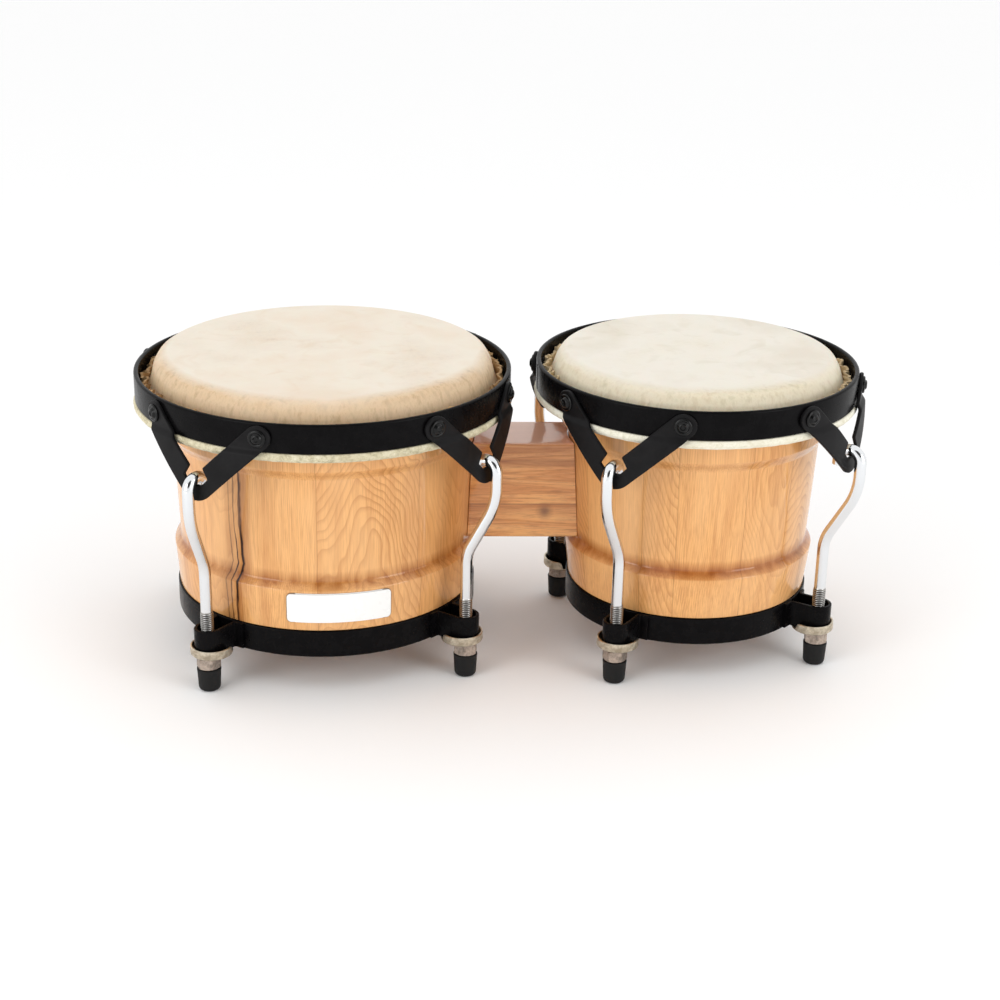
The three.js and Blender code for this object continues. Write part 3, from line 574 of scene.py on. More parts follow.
def dried_trim(name, light, dark):
    """The skin's cut edge, dried into hard folds: painted highlight pales the crests, painted shade browns
    the folds and the lower part.
    """
    material, node, surface = new_finish(name, Roughness=0.65, IOR=1.45)
    fold = node("Attribute", attribute_name="fold", out="Fac")
    mottle = node("TexNoise", {"Vector": node("TexCoord", out="Object"), "Scale": 420, "Detail": 4})
    fold_shade_and_mottle = node("Math", {0: mottle, 1: 0.5, 2: fold}, operation="MULTIPLY_ADD")
    feed(
        surface,
        Base_Color=node("ValToRGB", {0: fold_shade_and_mottle}, stops=[(0.2, dark), (0.6, light), (0.95, light)]),
        Normal=node("Bump", {"Strength": 0.5, "Distance": 0.0004, "Height": mottle}),
    )
    return material


def acrylic_badge():
    """White acrylic badge, left blank: smooth and glossy, with painted shade along its edge and faint
    handling marks.
    """
    material, node, surface = new_finish("white_acrylic_badge", IOR=1.49)
    marks = node("TexNoise", {"Vector": node("TexCoord", out="Object"), "Scale": 220, "Detail": 4})
    painted_edge_shade = node("Attribute", attribute_name="painted_edge_shade", out="Fac")
    feed(
        surface,
        Base_Color=node("ValToRGB", {0: painted_edge_shade}, stops=[
            (0, "#F4F4F2"), (0.25, "#E9E7E3"), (0.6, "#9A8A78"), (1, "#7D6C5A")]),
        Roughness=node("MapRange", {0: marks, 1: 0.35, 2: 0.7, 3: 0.22, 4: 0.38}),
    )
    return material


STAVES = lacquered_staves()
BLOCK = lacquered_block()
HOOP_BLACK = powder_coat("satin_black_powder_coat", "#080708", "#0F0E0F", 0.26, 0.06)
PLATE_BLACK = powder_coat("fine_black_powder_coat", "#0F0E0F", "#191819", 0.45, 0.12)
RIVET_BLACK = powder_coat("gloss_black_rivet_paint", "#060606", "#0C0C0C", 0.16, 0.25)
CHROME = chrome_plate()
THREADS = rolled_thread()
NUT_NICKEL = nickel_plate("dull_nickel_nut", "#C9B9AB", "#8E8279", (0.28, 0.5))
SAUCER_NICKEL = nickel_plate("satin_nickel_saucer", "#DCD2BE", "#A89C88", (0.3, 0.48))
BOLT_ZINC = nickel_plate("bright_zinc_bolt", "#C4C8CA", "#8F9497", (0.25, 0.45))
RUBBER = moulded_rubber()
SKINS = {
    "large": stretched_rawhide("large_rawhide_head", ("#E4D3BE", "#E8DDCC", "#EAE2D5"),
                               ("#B89A76", "#D8BC98", "#C6AA88"), "#DBC4A8", 0.31),
    "small": stretched_rawhide("small_rawhide_head", ("#DED5C5", "#E7E0D3", "#EBE5DA"),
                               ("#C9BDA0", "#DED3BA", "#CFC0A3"), "#CABFA6", 1.73),
}
LAPS = {
    "large": lapped_rawhide("large_lapped_rawhide", ("#998F70", "#CAC1A1", "#DED7BE"), "#F2EEDF"),
    "small": lapped_rawhide("small_lapped_rawhide", ("#CFCAB2", "#E6E2CF", "#F0EDE0"), "#FAF8F0"),
}
TRIMS = {
    "large": dried_trim("large_dried_trim", "#CDA878", "#69472A"),
    "small": dried_trim("small_dried_trim", "#EAD2A8", "#8A6740"),
}
BADGE = acrylic_badge()


# ---- shells ----

def stave_angles(seams):
    """Angles a small step apart all round a shell, and the stave that each one belongs to."""
    angles, staves = [], []
    for number, (start, end) in enumerate(zip(seams, seams[1:] + (seams[0] + 360,))):
        steps = max(2, round((end - start) / STAVE_STEP))
        angles.extend(math.radians(start + (end - start) * step / steps) for step in range(steps))
        staves.extend([number] * steps)
    return np.array(angles), staves


def crack_bend(height):
    """How far the crack strays sideways: a kink at the cove and a slight lean."""
    kink = math.exp(-((height - 79) / 4) ** 2) - clamped((76 - height) / 6)
    return 1.2 * kink - 0.025 * (110 - height)


def shell_piece(size, drum):
    """Staves glued in a ring, turned outside with two coves and bored through."""
    seat, foot = drum["ring"] - RING_WALL - GAP, drum["ring_top"] + GAP
    head, top = drum["head"], drum["shell_top"]
    rows = [
        (drum["bore_base"], drum["shell_base"], 1.2), (seat, drum["shell_base"], 0.5), (seat, foot, 0),
        (drum["ring"] - 1.1, foot, 0.3), (drum["band"], BAND_TOP + 0.8, 1.4),
        (drum["waist_base"] + 0.2, WAIST_BASE - 0.8, 3), (drum["waist_top"], WAIST_TOP + 1, 2.5),
        (head - 0.9, UPPER_BAND, 1.6), (head - 0.3, top - 5.5, 3), (head - 3, top - 2.2, 2),
        (head - 8, top - 0.4, 2), (drum["bore_top"], top - 2, 1),
    ]
    profile = close_rows(rounded([row[:2] for row in rows], [row[2] for row in rows]), 6)
    angles, staves = stave_angles(drum["seams"])
    sides = len(angles)
    points, faces = turned_points(profile, angles), grid_faces(len(profile), sides, True, True)
    shell = new_piece(f"{size}_turned_shell", [(points, faces)], 40)
    mesh = shell.data
    seams = [math.radians(a) for a in drum["seams"]]
    values = {name: [] for name in ("board", "tone", "figure", "seam", "crack", "cove")}
    for polygon in mesh.polygons:
        columns = {index % sides for index in polygon.vertices}
        stave = staves[sides - 1 if columns == {0, sides - 1} else min(columns)]
        width = (seams[(stave + 1) % len(seams)] - seams[stave]) % TURN
        offset, depth, lean, fine, strength = CUTS[drum["cuts"][stave]]
        for index in polygon.vertices:
            x, y, z = (v / MM for v in mesh.vertices[index].co)
            radius, bearing = math.hypot(x, y), math.atan2(y, x)
            turn = (bearing - seams[stave]) % TURN
            turn = turn if turn < width + 0.2 else turn - TURN
            across = (turn - width / 2) * radius
            values["board"].append((fine * (across - offset), fine * lean * z + 61 * stave, fine * depth))
            from_cove = abs(z - COVE_MIDDLE)
            # near the cove the wood's tone is darker: partly stain, partly painted shade
            values["tone"].append(drum["tones"][stave] + drum["cove_stain"] * max(0, 1 - from_cove / 5))
            values["figure"].append(strength)
            values["seam"].append(min(abs(turn), abs(width - turn)) * radius)
            if drum["crack"]:
                swing = (bearing - math.radians(drum["crack"]) + math.pi) % TURN - math.pi
                values["crack"].append(swing * radius - crack_bend(z))
            else:
                values["crack"].append(NO_CRACK)
            # the cove mask: stain where the end grain drank lacquer, plus painted shade in the lower cove
            # and, a little, in the upper cove
            upper = max(0, 1 - abs(z - UPPER_COVE) / 3)
            values["cove"].append(min(1, 1.6 * max(0, 1 - from_cove / 4.2)) + 0.45 * upper)
    for name, numbers in values.items():
        mark(shell, name, numbers, "CORNER", "FLOAT_VECTOR" if name == "board" else "FLOAT")
    finish_piece(place(shell, drum), "shells", STAVES, "shell_wood", f"{size}_shell")


# ---- heads, lapped edges and dried trims ----

def head_piece(size, drum):
    """The skin: flat over the bearing edge, then sloping out under the hoop with fine tension pleats."""
    edge, seed = drum["head"], drum["seed"]
    outside = close_rows(rounded([
        (0.4, HEAD_TOP - 0.02), (edge - 7, HEAD_TOP - 0.02), (edge - 0.4, HEAD_TOP - 0.7),
        (edge + 3.3, HEAD_TOP - 7), (edge + 5.4, drum["hoop_top"] - 7),
        (drum["flesh"] - 6 + SKIN / 2, drum["flesh_high"] + 0.6),
    ], (0, 40, 12, 12, 6, 0), 7), 4)[:-1]
    # known fault: rows are also added from the foot back to the axis, and those beyond this radius stay,
    # which leaves a cone of skin inside the drum
    while outside[-1][0] < CONE_INNER:
        outside.pop()
    inside = [
        (max(0.4, r - SKIN * clamped((r - edge + 5) / 5)), z - SKIN * clamped((edge + 4 - r) / 4, 0.15))
        for r, z in reversed(outside)]
    profile = outside + inside
    angles = circle(288)
    rows = turned_points(profile, angles)
    for row, (radius, height) in enumerate(profile):
        down = clamped((HEAD_TOP - 4 - height) / 10)
        for column, angle in enumerate(angles):
            x, y = radius * math.cos(angle), radius * math.sin(angle)
            pleat = wobble(x * 0.25 + seed, y * 0.25, height * 0.02)
            fine = wobble(x * 0.7 + seed, y * 0.7, height * 0.03)
            rows[row, column] += unit(angle) * down * (0.35 * pleat + 0.16 * fine)
            if radius < edge:
                rows[row, column, 2] += 0.08 * wobble(x * 0.02, y * 0.02, seed) - 0.08
    head = new_piece(f"{size}_rawhide_head", [(rows, capped_faces(len(profile), len(angles)))], 60)
    spots = np.array([v.co for v in head.data.vertices]) / MM
    radii = np.hypot(spots[:, 0], spots[:, 1])
    # the tan of the skirt reaches furthest into the face at the front: partly the skin's own tan, partly
    # painted shade where the skirt turns away from the light
    reach = 5 - 6.5 * spots[:, 1] / radii
    mark(head, "skirt", np.clip((radii - edge + reach) / (reach + 7), 0, 1))
    finish_piece(place(head, drum), None, SKINS[size], "head_skin", f"{size}_head")
    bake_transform(head)


def lap_piece(size, drum):
    """The bead under the hoop: skin lapped round a steel ring and dried lumpy."""
    low, high, outer = drum["flesh_low"], drum["flesh_high"], drum["flesh"]
    inner = outer - 5.9
    profile = rounded([
        (inner, low + 1), (inner + 1.6, low), (outer - 1.8, low), (outer, low + 2.6), (outer - 0.9, high),
        (inner, high),
    ], (0.8, 0.8, 1.4, 1.8, 1, 0.4), 4)
    angles = circle(360)
    rows = turned_points(profile, angles)
    for row, (radius, height) in enumerate(profile):
        outward = max(0, (radius - inner) / (outer - inner))
        for column, angle in enumerate(angles):
            x, y = radius * math.cos(angle), radius * math.sin(angle)
            lump = 0.16 * wobble(x * 0.35, y * 0.35, height * 0.4) + 0.1 * wobble(x * 1.1, y * 1.1, height)
            rows[row, column] += unit(angle) * (lump - 0.1) * outward
            if height < low + 1.5:
                rows[row, column, 2] += 0.15 + 0.25 * wobble(x * 0.2, y * 0.2, 5)
    lap = new_piece(f"{size}_lapped_edge", [(rows, grid_faces(len(profile), len(angles), True, True))], 60)
    finish_piece(place(lap, drum), f"{size}_hoop_set", LAPS[size], "lapped_skin", f"{size}_flesh_hoop")


def trim_piece(size, drum):
    """The skin's cut end, standing in hard folds between the head and the hoop."""
    inner_wall, seed = drum["hoop"] - HOOP_WALL, drum["trim_seed"]
    folds = round(TURN * inner_wall / TRIM_FOLD)
    angles = circle(folds * 8)
    heights = (0, 0.25, 0.5, 0.72, 0.88, 1)
    points, fold_shading = [], []
    for share, thick in [(h, 0) for h in heights] + [(h, TRIM_WALL) for h in reversed(heights)]:
        for angle in angles:
            x, y = 100 * math.cos(angle), 100 * math.sin(angle)
            fine = wobble(x * 0.5, y * 0.5, seed)
            phase = folds * angle + 3.4 * wobble(x * 0.16 + seed, y * 0.16) + 1.6 * fine
            zigzag = 4 * abs((phase / TURN) % 1 - 0.5) - 1
            fold = zigzag * (1.4 - 0.4 * zigzag * zigzag)
            tall = 0.78 + 0.32 * wobble(x * 0.12, y * 0.12, seed) + 0.2 * fine
            z = drum["hoop_low"] + 2.2 + share * 12.4 * min(1.16, tall)
            span = (z - drum["hoop_low"]) / drum["hoop_height"]
            reach = 0.4 + 3.1 * span * (0.65 + 0.9 * wobble(x * 0.33, y * 0.33, seed + 2))
            sway = 0.8 * span * wobble(x * 0.2, y * 0.2, seed + 6)
            middle = inner_wall - 1.3 - 2.6 * span - thick + sway
            radius = min(inner_wall - 0.5 - thick, middle + reach * fold * (0.6 + 0.4 * share))
            points.append((radius * math.cos(angle), radius * math.sin(angle), z))
            # painted highlight and shade: the crests paler, the folds and the lower part browner
            fold_shading.append(0.5 + 0.32 * fold - 0.2 * (1 - share))
    faces = grid_faces(2 * len(heights), len(angles), True, True)
    trim = new_piece(f"{size}_dried_trim", [(points, faces)], 50)
    mark(trim, "fold", fold_shading)
    finish_piece(place(trim, drum), f"{size}_hoop_set", TRIMS[size], "lapped_skin")


# ---- hoops, plates and rods ----

def weld_parts(drum):
    """The bead where the rolled hoop's ends were welded: low, narrow and a little uneven."""
    rows, columns = 28, 7
    points = []
    for row in range(rows):
        z = drum["hoop_low"] + 0.5 + (drum["hoop_height"] - 1.4) * row / (rows - 1)
        for column in range(columns):
            across = 2 * column / (columns - 1) - 1
            proud = 0.32 * (1 - across * across) - 0.06 + 0.07 * wobble(z * 1.4, across)
            side = 1.1 * across + 0.15 * wobble(z * 0.9, 3)
            spot = unit(math.radians(drum["weld"]) + side / drum["hoop"]) * (drum["hoop"] + proud)
            points.append((spot[0], spot[1], z))
    return points, grid_faces(rows, columns, False, False)


def hoop_piece(size, drum):
    outer, inner, low, high = drum["hoop"], drum["hoop"] - HOOP_WALL, drum["hoop_low"], drum["hoop_top"]
    profile = rounded([(outer, low), (outer, high), (inner, high), (inner, low)], (0.5, 1.4, 1.4, 0.5))
    hoop = new_piece(f"{size}_rolled_hoop", [turned(profile, 216), weld_parts(drum)], 60)
    finish_piece(place(hoop, drum), f"{size}_hoop_set", HOOP_BLACK, "black_steel", f"{size}_tension_hoop")


def plate_offset(drum, depth):
    """Gap between hoop and plate this far below the hoop's top: a joggle, then a slight lean."""
    start, end = drum["joggle_start"], drum["joggle_end"]
    lean = max(0, (depth - end) / (APEX_DEPTH - end))
    return GAP + JOGGLE * eased((depth - start) / (end - start)) + LEAN * lean


def plate_outline():
    """The V of a hook plate, flat: x along the hoop, y up from the hoop's top."""
    leg = math.atan2(APEX_DEPTH - RIVET_DEPTH, PLATE_HALF_SPAN)
    quarter = math.pi / 2
    slant = LEG_HALF_WIDTH / math.cos(leg)
    inner_apex = -APEX_DEPTH + slant
    round_centre = -APEX_DEPTH - slant + APEX_ROUND / math.cos(leg)
    right = arc((0, round_centre), APEX_ROUND, -quarter, leg - quarter, 5)[1:]
    right += arc((PLATE_HALF_SPAN, -RIVET_DEPTH), LEG_HALF_WIDTH, leg - quarter, leg + quarter, 14)
    right += rounded([
        (20, inner_apex + 20 * math.tan(leg)), (4.7, inner_apex + 4.7 * math.tan(leg)), (8.4, -36.8),
        (4.2, -NOTCH_DEPTH), (0, -NOTCH_DEPTH),
    ], (0, 1.2, 0.9, 0.9, 0), 3)[1:-1]
    return [(0, round_centre - APEX_ROUND)] + right + [(-x, y) for x, y in reversed(right)]


def flat_sheet(outline, cuts):
    """A flat sheet with this outline, divided along lines given as a point and a direction across."""
    sheet = bmesh.new()
    sheet.faces.new([sheet.verts.new((x, y, 0)) for x, y in outline])
    for point, normal in cuts:
        everything = sheet.verts[:] + sheet.edges[:] + sheet.faces[:]
        bmesh.ops.bisect_plane(sheet, geom=everything, dist=1e-5, plane_co=point, plane_no=normal)
    sheet.verts.index_update()
    return sheet


def edge_pull(vertex):
    """Which way a point on a sheet's border goes to move inwards, by the size of the plate's soft edge."""
    pull = Vector((0, 0, 0))
    for edge in vertex.link_edges:
        if edge.is_boundary:
            side = (edge.other_vert(vertex).co - vertex.co).normalized()
            normal = Vector((-side.y, side.x, 0))
            within = edge.link_faces[0].calc_center_median() - vertex.co
            pull += normal if normal.dot(within) > 0 else -normal
    return pull.normalized() * PLATE_SOFT if pull.length > 1e-6 else pull


def plate_parts(drum):
    """A hook plate in narrow strips, bent to the hoop, with softened edges."""
    start, end = drum["joggle_start"], drum["joggle_end"]
    cuts = [((x, 0, 0), (1, 0, 0)) for x in np.arange(-45, 46, 3.0)]
    cuts += [((0, -start - (end - start) * k / 6, 0), (0, 1, 0)) for k in range(7)]
    flat = flat_sheet(plate_outline(), cuts)
    bmesh.ops.triangulate(flat, faces=flat.faces[:])
    flat.verts.index_update()
    pulls = [edge_pull(v) for v in flat.verts]
    points, faces = [], []
    for out, pulled in ((0, 1), (PLATE_SOFT, 0), (PLATE_WALL - PLATE_SOFT, 0), (PLATE_WALL, 1)):
        for v, pull in zip(flat.verts, pulls):
            x, y = v.co.x + pull.x * pulled, v.co.y + pull.y * pulled
            spot = unit(math.asin(x / (drum["hoop"] + 2.5))) * (drum["hoop"] + plate_offset(drum, -y) + out)
            points.append((spot[0], spot[1], drum["hoop_top"] + y))
    count = len(flat.verts)
    for face in flat.faces:
        upward = face.normal.z > 0
        front = [v.index for v in face.verts][::1 if upward else -1]
        faces += [tuple(3 * count + i for i in front), tuple(reversed(front))]
        for loop in face.loops:
            if loop.edge.is_boundary:
                a, b = (loop.vert.index, loop.link_loop_next.vert.index)[::1 if upward else -1]
                for low in (0, count, 2 * count):
                    faces.append((low + a, low + b, low + count + b, low + count + a))
    flat.free()
    # the middle layers have points at the border only
    used = sorted({i for face in faces for i in face})
    renumber = {old: new for new, old in enumerate(used)}
    return [points[i] for i in used], [tuple(renumber[i] for i in face) for face in faces]


def rivet_parts(drum, angle):
    """A rivet set in the hoop: domed head with a rim and a dimple, and a small tail inside."""
    face, tail, rim = drum["hoop"] + GAP + PLATE_WALL, drum["hoop"] - HOOP_WALL - GAP, RIVET_RADIUS
    points, faces = turned([
        (0.05, tail - 1), (3.2, tail - 0.9), (3.8, tail - 0.4), (3.8, tail), (2.4, tail), (2.4, face - 1.2),
        (rim, face - 0.6), (rim, face + 0.7), (rim - 0.4, face + 1.15), (rim - 1.2, face + 1.3),
        (3.5, face + 1.05), (3.1, face + 1.35), (2.7, face + 2.1), (1.9, face + 2.5), (1.5, face + 2.45),
        (1.1, face + 1.9), (0.05, face + 1.75),
    ], 28, solid=True)
    height = points[:, 1] + drum["hoop_top"] - RIVET_DEPTH
    points = np.stack([points[:, 2], -points[:, 0], height], axis=1)
    return swung(points, angle), [side[::-1] for side in faces]


def plate_pieces(size, drum):
    rivet = math.asin(PLATE_HALF_SPAN / (drum["hoop"] + 2.5))
    plate_part, rivet_pair = plate_parts(drum), [rivet_parts(drum, rivet), rivet_parts(drum, -rivet)]
    for number in range(1, RODS + 1):
        turn = math.radians(drum["plate_turn"]) + TURN * (number - 1) / RODS
        plate = place(new_piece(f"{size}_pressed_hook_plate_{number}", [plate_part], 30), drum, turn)
        pair = place(new_piece(f"{size}_rivet_pair_{number}", rivet_pair, 40), drum, turn)
        finish_piece(plate, f"{size}_hoop_set", PLATE_BLACK, "black_steel", f"{size}_hook_plate_{number}")
        finish_piece(pair, f"{size}_hoop_set", RIVET_BLACK, "black_steel")


def bent_line(corners, radii, spacing):
    """Points along a 3D line with rounded corners."""
    points = [corners[0]]
    for before, corner, after, radius in zip(corners, corners[1:], corners[2:], radii):
        back, ahead = before - corner, after - corner
        back, ahead = back / np.linalg.norm(back), ahead / np.linalg.norm(ahead)
        half = math.acos(float(back @ ahead)) / 2
        centre = corner + (back + ahead) / np.linalg.norm(back + ahead) * radius / math.sin(half)
        start, end = corner + back * radius / math.tan(half), corner + ahead * radius / math.tan(half)
        sweep = math.pi - 2 * half
        steps = max(3, round(sweep * radius / spacing))
        first = (start - centre) / radius
        second = (end - centre) / radius
        second = second - first * float(first @ second)
        second /= np.linalg.norm(second)
        for t in (sweep * k / steps for k in range(steps + 1)):
            points.append(centre + radius * (first * math.cos(t) + second * math.sin(t)))
    return points + [corners[-1]]


def tube_parts(points, radius, sides):
    """A round bar along points, with its last end rounded over."""
    tangents = []
    for i in range(len(points)):
        ahead = points[min(i + 1, len(points) - 1)] - points[max(i - 1, 0)]
        tangents.append(ahead / np.linalg.norm(ahead))
    side = np.cross(tangents[0], [0.3, 0.9, 0.1])
    spots = [(point, tangent, radius) for point, tangent in zip(points, tangents)]
    for inset, out in ((0.3, 0.12), (0.7, 0.35), (1.6, 0.5)):
        spots.append((points[-1] + tangents[-1] * out, tangents[-1], radius - inset))
    rings = []
    for point, tangent, reach in spots:
        side = side - tangent * float(side @ tangent)
        side /= np.linalg.norm(side)
        other = np.cross(tangent, side)
        rings += [point + reach * (math.cos(a) * side + math.sin(a) * other) for a in circle(sides)]
    return rings, capped_faces(len(spots), sides)


def rod_pieces(size, drum):
    """Chrome rods: up from the thread, bowed outwards and hooked over the plates' notches."""
    lug, plate = unit(math.radians(drum["lug_turn"])), unit(math.radians(drum["plate_turn"]))
    hook = drum["hoop"] + plate_offset(drum, NOTCH_DEPTH) + PLATE_WALL / 2
    top = drum["hoop_top"] - NOTCH_DEPTH + HOOK_SEAT + SHANK
    bow, tip = hook + HOOK_BEND, hook - HOOK_BEND
    corners = [way * reach + np.array([0, 0, height]) for way, reach, height in (
        (lug, drum["lug"], THREAD_TOP - 0.4), (lug, drum["lug"], drum["hoop_top"] - ROD_INNER_BEND),
        (plate, bow, drum["hoop_top"] - ROD_OUTER_BEND), (plate, bow, top),
        (plate, tip, top), (plate, tip, top - HOOK_BEND - HOOK_TAIL))]
    bar = tube_parts(bent_line(corners, (25, 42, HOOK_BEND, HOOK_BEND), 1.4), SHANK, 28)
    *thread_part, roots = thread_parts(lug * drum["lug"])
    for number in range(1, RODS + 1):
        turn = TURN * (number - 1) / RODS
        rod = place(new_piece(f"{size}_chrome_rod_{number}", [bar], 50), drum, turn)
        thread = place(new_piece(f"{size}_rod_thread_{number}", [thread_part], 50), drum, turn)
        mark(thread, "root", roots)
        finish_piece(rod, f"{size}_hoop_set", CHROME, "chrome_steel", f"{size}_tuning_rod_{number}")
        finish_piece(thread, f"{size}_hoop_set", THREADS, "chrome_steel")


def thread_parts(centre):
    """A rolled M8 thread as a real helix, running out at its upper end, and how deep each point lies."""
    sides, steps = 24, 8
    count = int((THREAD_TOP - THREAD_LOW) / THREAD_PITCH * steps)
    points, roots = [], []
    for row in range(count + 1):
        z = THREAD_LOW + row * THREAD_PITCH / steps
        fade = clamped((THREAD_TOP - z) / 2.5)
        for angle in circle(sides):
            wave = 2 * abs((z / THREAD_PITCH - angle / TURN) % 1 - 0.5)
            groove = clamped(1.5 * wave - 0.3) * fade
            radius = THREAD - 0.05 - 0.62 * groove - (1 - fade) * 0.42
            points.append(centre + unit(angle) * radius + np.array([0, 0, z]))
            roots.append(groove)
    return points, capped_faces(count + 1, sides), roots


# ---- bottom ring, saucers, nuts and feet ----

def strap_parts(drum, angle, low, high):
    """One ear: a flat strap bent in a U round the rod, its feet bent along the ring and spot welded."""
    nose, half, soft = EAR_SLOT + EAR_WALL / 2, EAR_WALL / 2, 0.35
    face = drum["ring"] + half + 0.02
    reach = math.asin((EAR_SLOT + EAR_WALL + EAR_FLANGE) / face)
    root = math.asin((nose + 1.4) / face)
    line = [(face * math.cos(t), face * math.sin(t)) for t in np.linspace(reach, root, 6)]
    line += [(face * math.cos(root) + 0.7, nose + 0.25), (face + 1.6, nose), (drum["lug"] - 4, nose)]
    line += arc((drum["lug"], 0), nose, math.pi / 2, 0, 10)
    line = np.array(line + [(x, -y) for x, y in reversed(line[:-1])])
    ahead = np.gradient(line, axis=0)
    ahead /= np.linalg.norm(ahead, axis=1)[:, None]
    section = [(-half + soft, low), (-half, low + soft), (-half, high - soft), (-half + soft, high),
               (half - soft, high), (half, high - soft), (half, low + soft), (half - soft, low)]
    points = [(x - forward_y * out, y + forward_x * out, z)
              for (x, y), (forward_x, forward_y) in zip(line, ahead) for out, z in section]
    return swung(points, angle), capped_faces(len(line), len(section))


def ring_piece(size, drum):
    """The bottom ring: a rolled band with a lip under the shell, and four ears welded on."""
    low, high, outer = drum["ring_low"], drum["ring_top"], drum["ring"]
    inner, lip, step = outer - RING_WALL, outer - RING_LIP, low + RING_WALL
    profile = rounded([(outer, low), (outer, high), (inner, high), (inner, step), (lip, step), (lip, low)],
                      (1.6, 0.7, 0.4, 0.4, 0.8, 0.8), 4)
    straps = [strap_parts(drum, math.radians(drum["lug_turn"]) + TURN * number / RODS, low + 1, high)
              for number in range(RODS)]
    ring = new_piece(f"{size}_welded_ring", [turned(profile, 192)] + straps, 40)
    finish_piece(place(ring, drum), "shells", HOOP_BLACK, "black_steel", f"{size}_bottom_ring")


def saucer_parts(base):
    """A pressed saucer round the ear's nose; its lip dies away on the ring side."""
    edge, sides = SAUCER_RADIUS, 72
    columns = []
    for angle in circle(sides):
        facing = abs((angle + math.pi) % TURN - math.pi)
        rim = 2 + (SAUCER_HEIGHT - 2) * eased((math.radians(122) - facing) / 0.16)
        profile = [
            (4.5, SAUCER_FLOOR), (4.5, 0), (8.6, 0), (edge - 1.2, 0.5), (edge - 0.3, 1.1), (edge, 1.8),
            (edge, max(2, rim - 0.3)), (edge - 0.35, max(2.2, rim)), (edge - 0.95, max(2.2, rim)),
            (edge - 1.3, max(2, rim - 0.3)), (edge - 1.3, SAUCER_FLOOR + 0.3), (edge - 1.8, SAUCER_FLOOR),
        ]
        columns.append([((0 if i < 2 else -SAUCER_SHIFT) + r * math.cos(angle), r * math.sin(angle), base + z)
                        for i, (r, z) in enumerate(profile)])
    rows = np.array(columns).transpose(1, 0, 2)
    return rows, grid_faces(len(rows), sides, True, True)


def hexagon_parts(low, high, bore=0):
    """A hexagon nut or bolt head with turned chamfers; with no bore it is solid."""
    sides, apothem = 72, NUT_FLATS / 2
    angles = circle(sides)
    hexagon = np.minimum(apothem / np.cos(angles % (math.pi / 3) - math.pi / 6), apothem * 1.145)
    drop = np.maximum(0, hexagon - apothem * 0.985) * 0.58
    top = [(bore, high - 0.5), (bore + 0.5, high)] if bore else [(0.05, high)]
    top += [(apothem * 0.93, high), (hexagon, high - 0.08 - drop)]
    rows = top + [(radius, low + high - z) for radius, z in reversed(top)]
    points = [np.stack([radius * np.cos(angles), radius * np.sin(angles), z + 0 * angles], axis=1)
              for radius, z in rows]
    faces = grid_faces(len(rows), sides, True, True) if bore else capped_faces(len(rows), sides)
    return np.array(points), [face[::-1] for face in faces]


def foot_parts():
    """A rubber cap: a thin lip at its mouth, a slight draft, and a rounded foot."""
    edge, mouth = CAP_RADIUS, CAP_HEIGHT
    return turned(rounded([
        (0.05, 0), (edge - 0.75, 0), (edge - 0.35, 8), (edge - 0.1, mouth - 1.6), (edge, mouth - 1.2),
        (edge, mouth), (4.4, mouth), (4.35, CAP_FLOOR), (0.05, CAP_FLOOR),
    ], (0, 2.8, 0, 0.3, 0.2, 0.5, 0.3, 0, 0)), 40, solid=True)


def lug_hardware(size, drum):
    """A saucer, a nut and a rubber cap on each rod."""
    for number in range(1, RODS + 1):
        angle = math.radians(drum["lug_turn"]) + TURN * (number - 1) / RODS
        nut_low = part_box(f"{size}_nut_{number}")[0].z / MM
        saucer_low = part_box(f"{size}_saucer_{number}")[0].z / MM
        nut_part = hexagon_parts(nut_low, nut_low + NUT_HEIGHT, THREAD + 0.1)
        for name, part, crease, body, material, slot, node in (
                ("pressed_saucer", saucer_parts(saucer_low), 40, "shells", SAUCER_NICKEL, "nickel_steel",
                 "saucer"),
                ("hex_nut", nut_part, 32, f"{size}_nut_body_{number}", NUT_NICKEL, "nickel_steel", "nut"),
                ("rubber_cap", foot_parts(), 50, f"{size}_hoop_set", RUBBER, "foot_rubber", "foot")):
            piece = new_piece(f"{size}_{name}_{number}", [part], crease)
            piece.location = drum["axis"] + Vector(unit(angle) * drum["lug"] * MM)
            piece.rotation_euler = (0, 0, angle)
            finish_piece(piece, body, material, slot, f"{size}_{node}_{number}")


# ---- centre block and its bolts ----

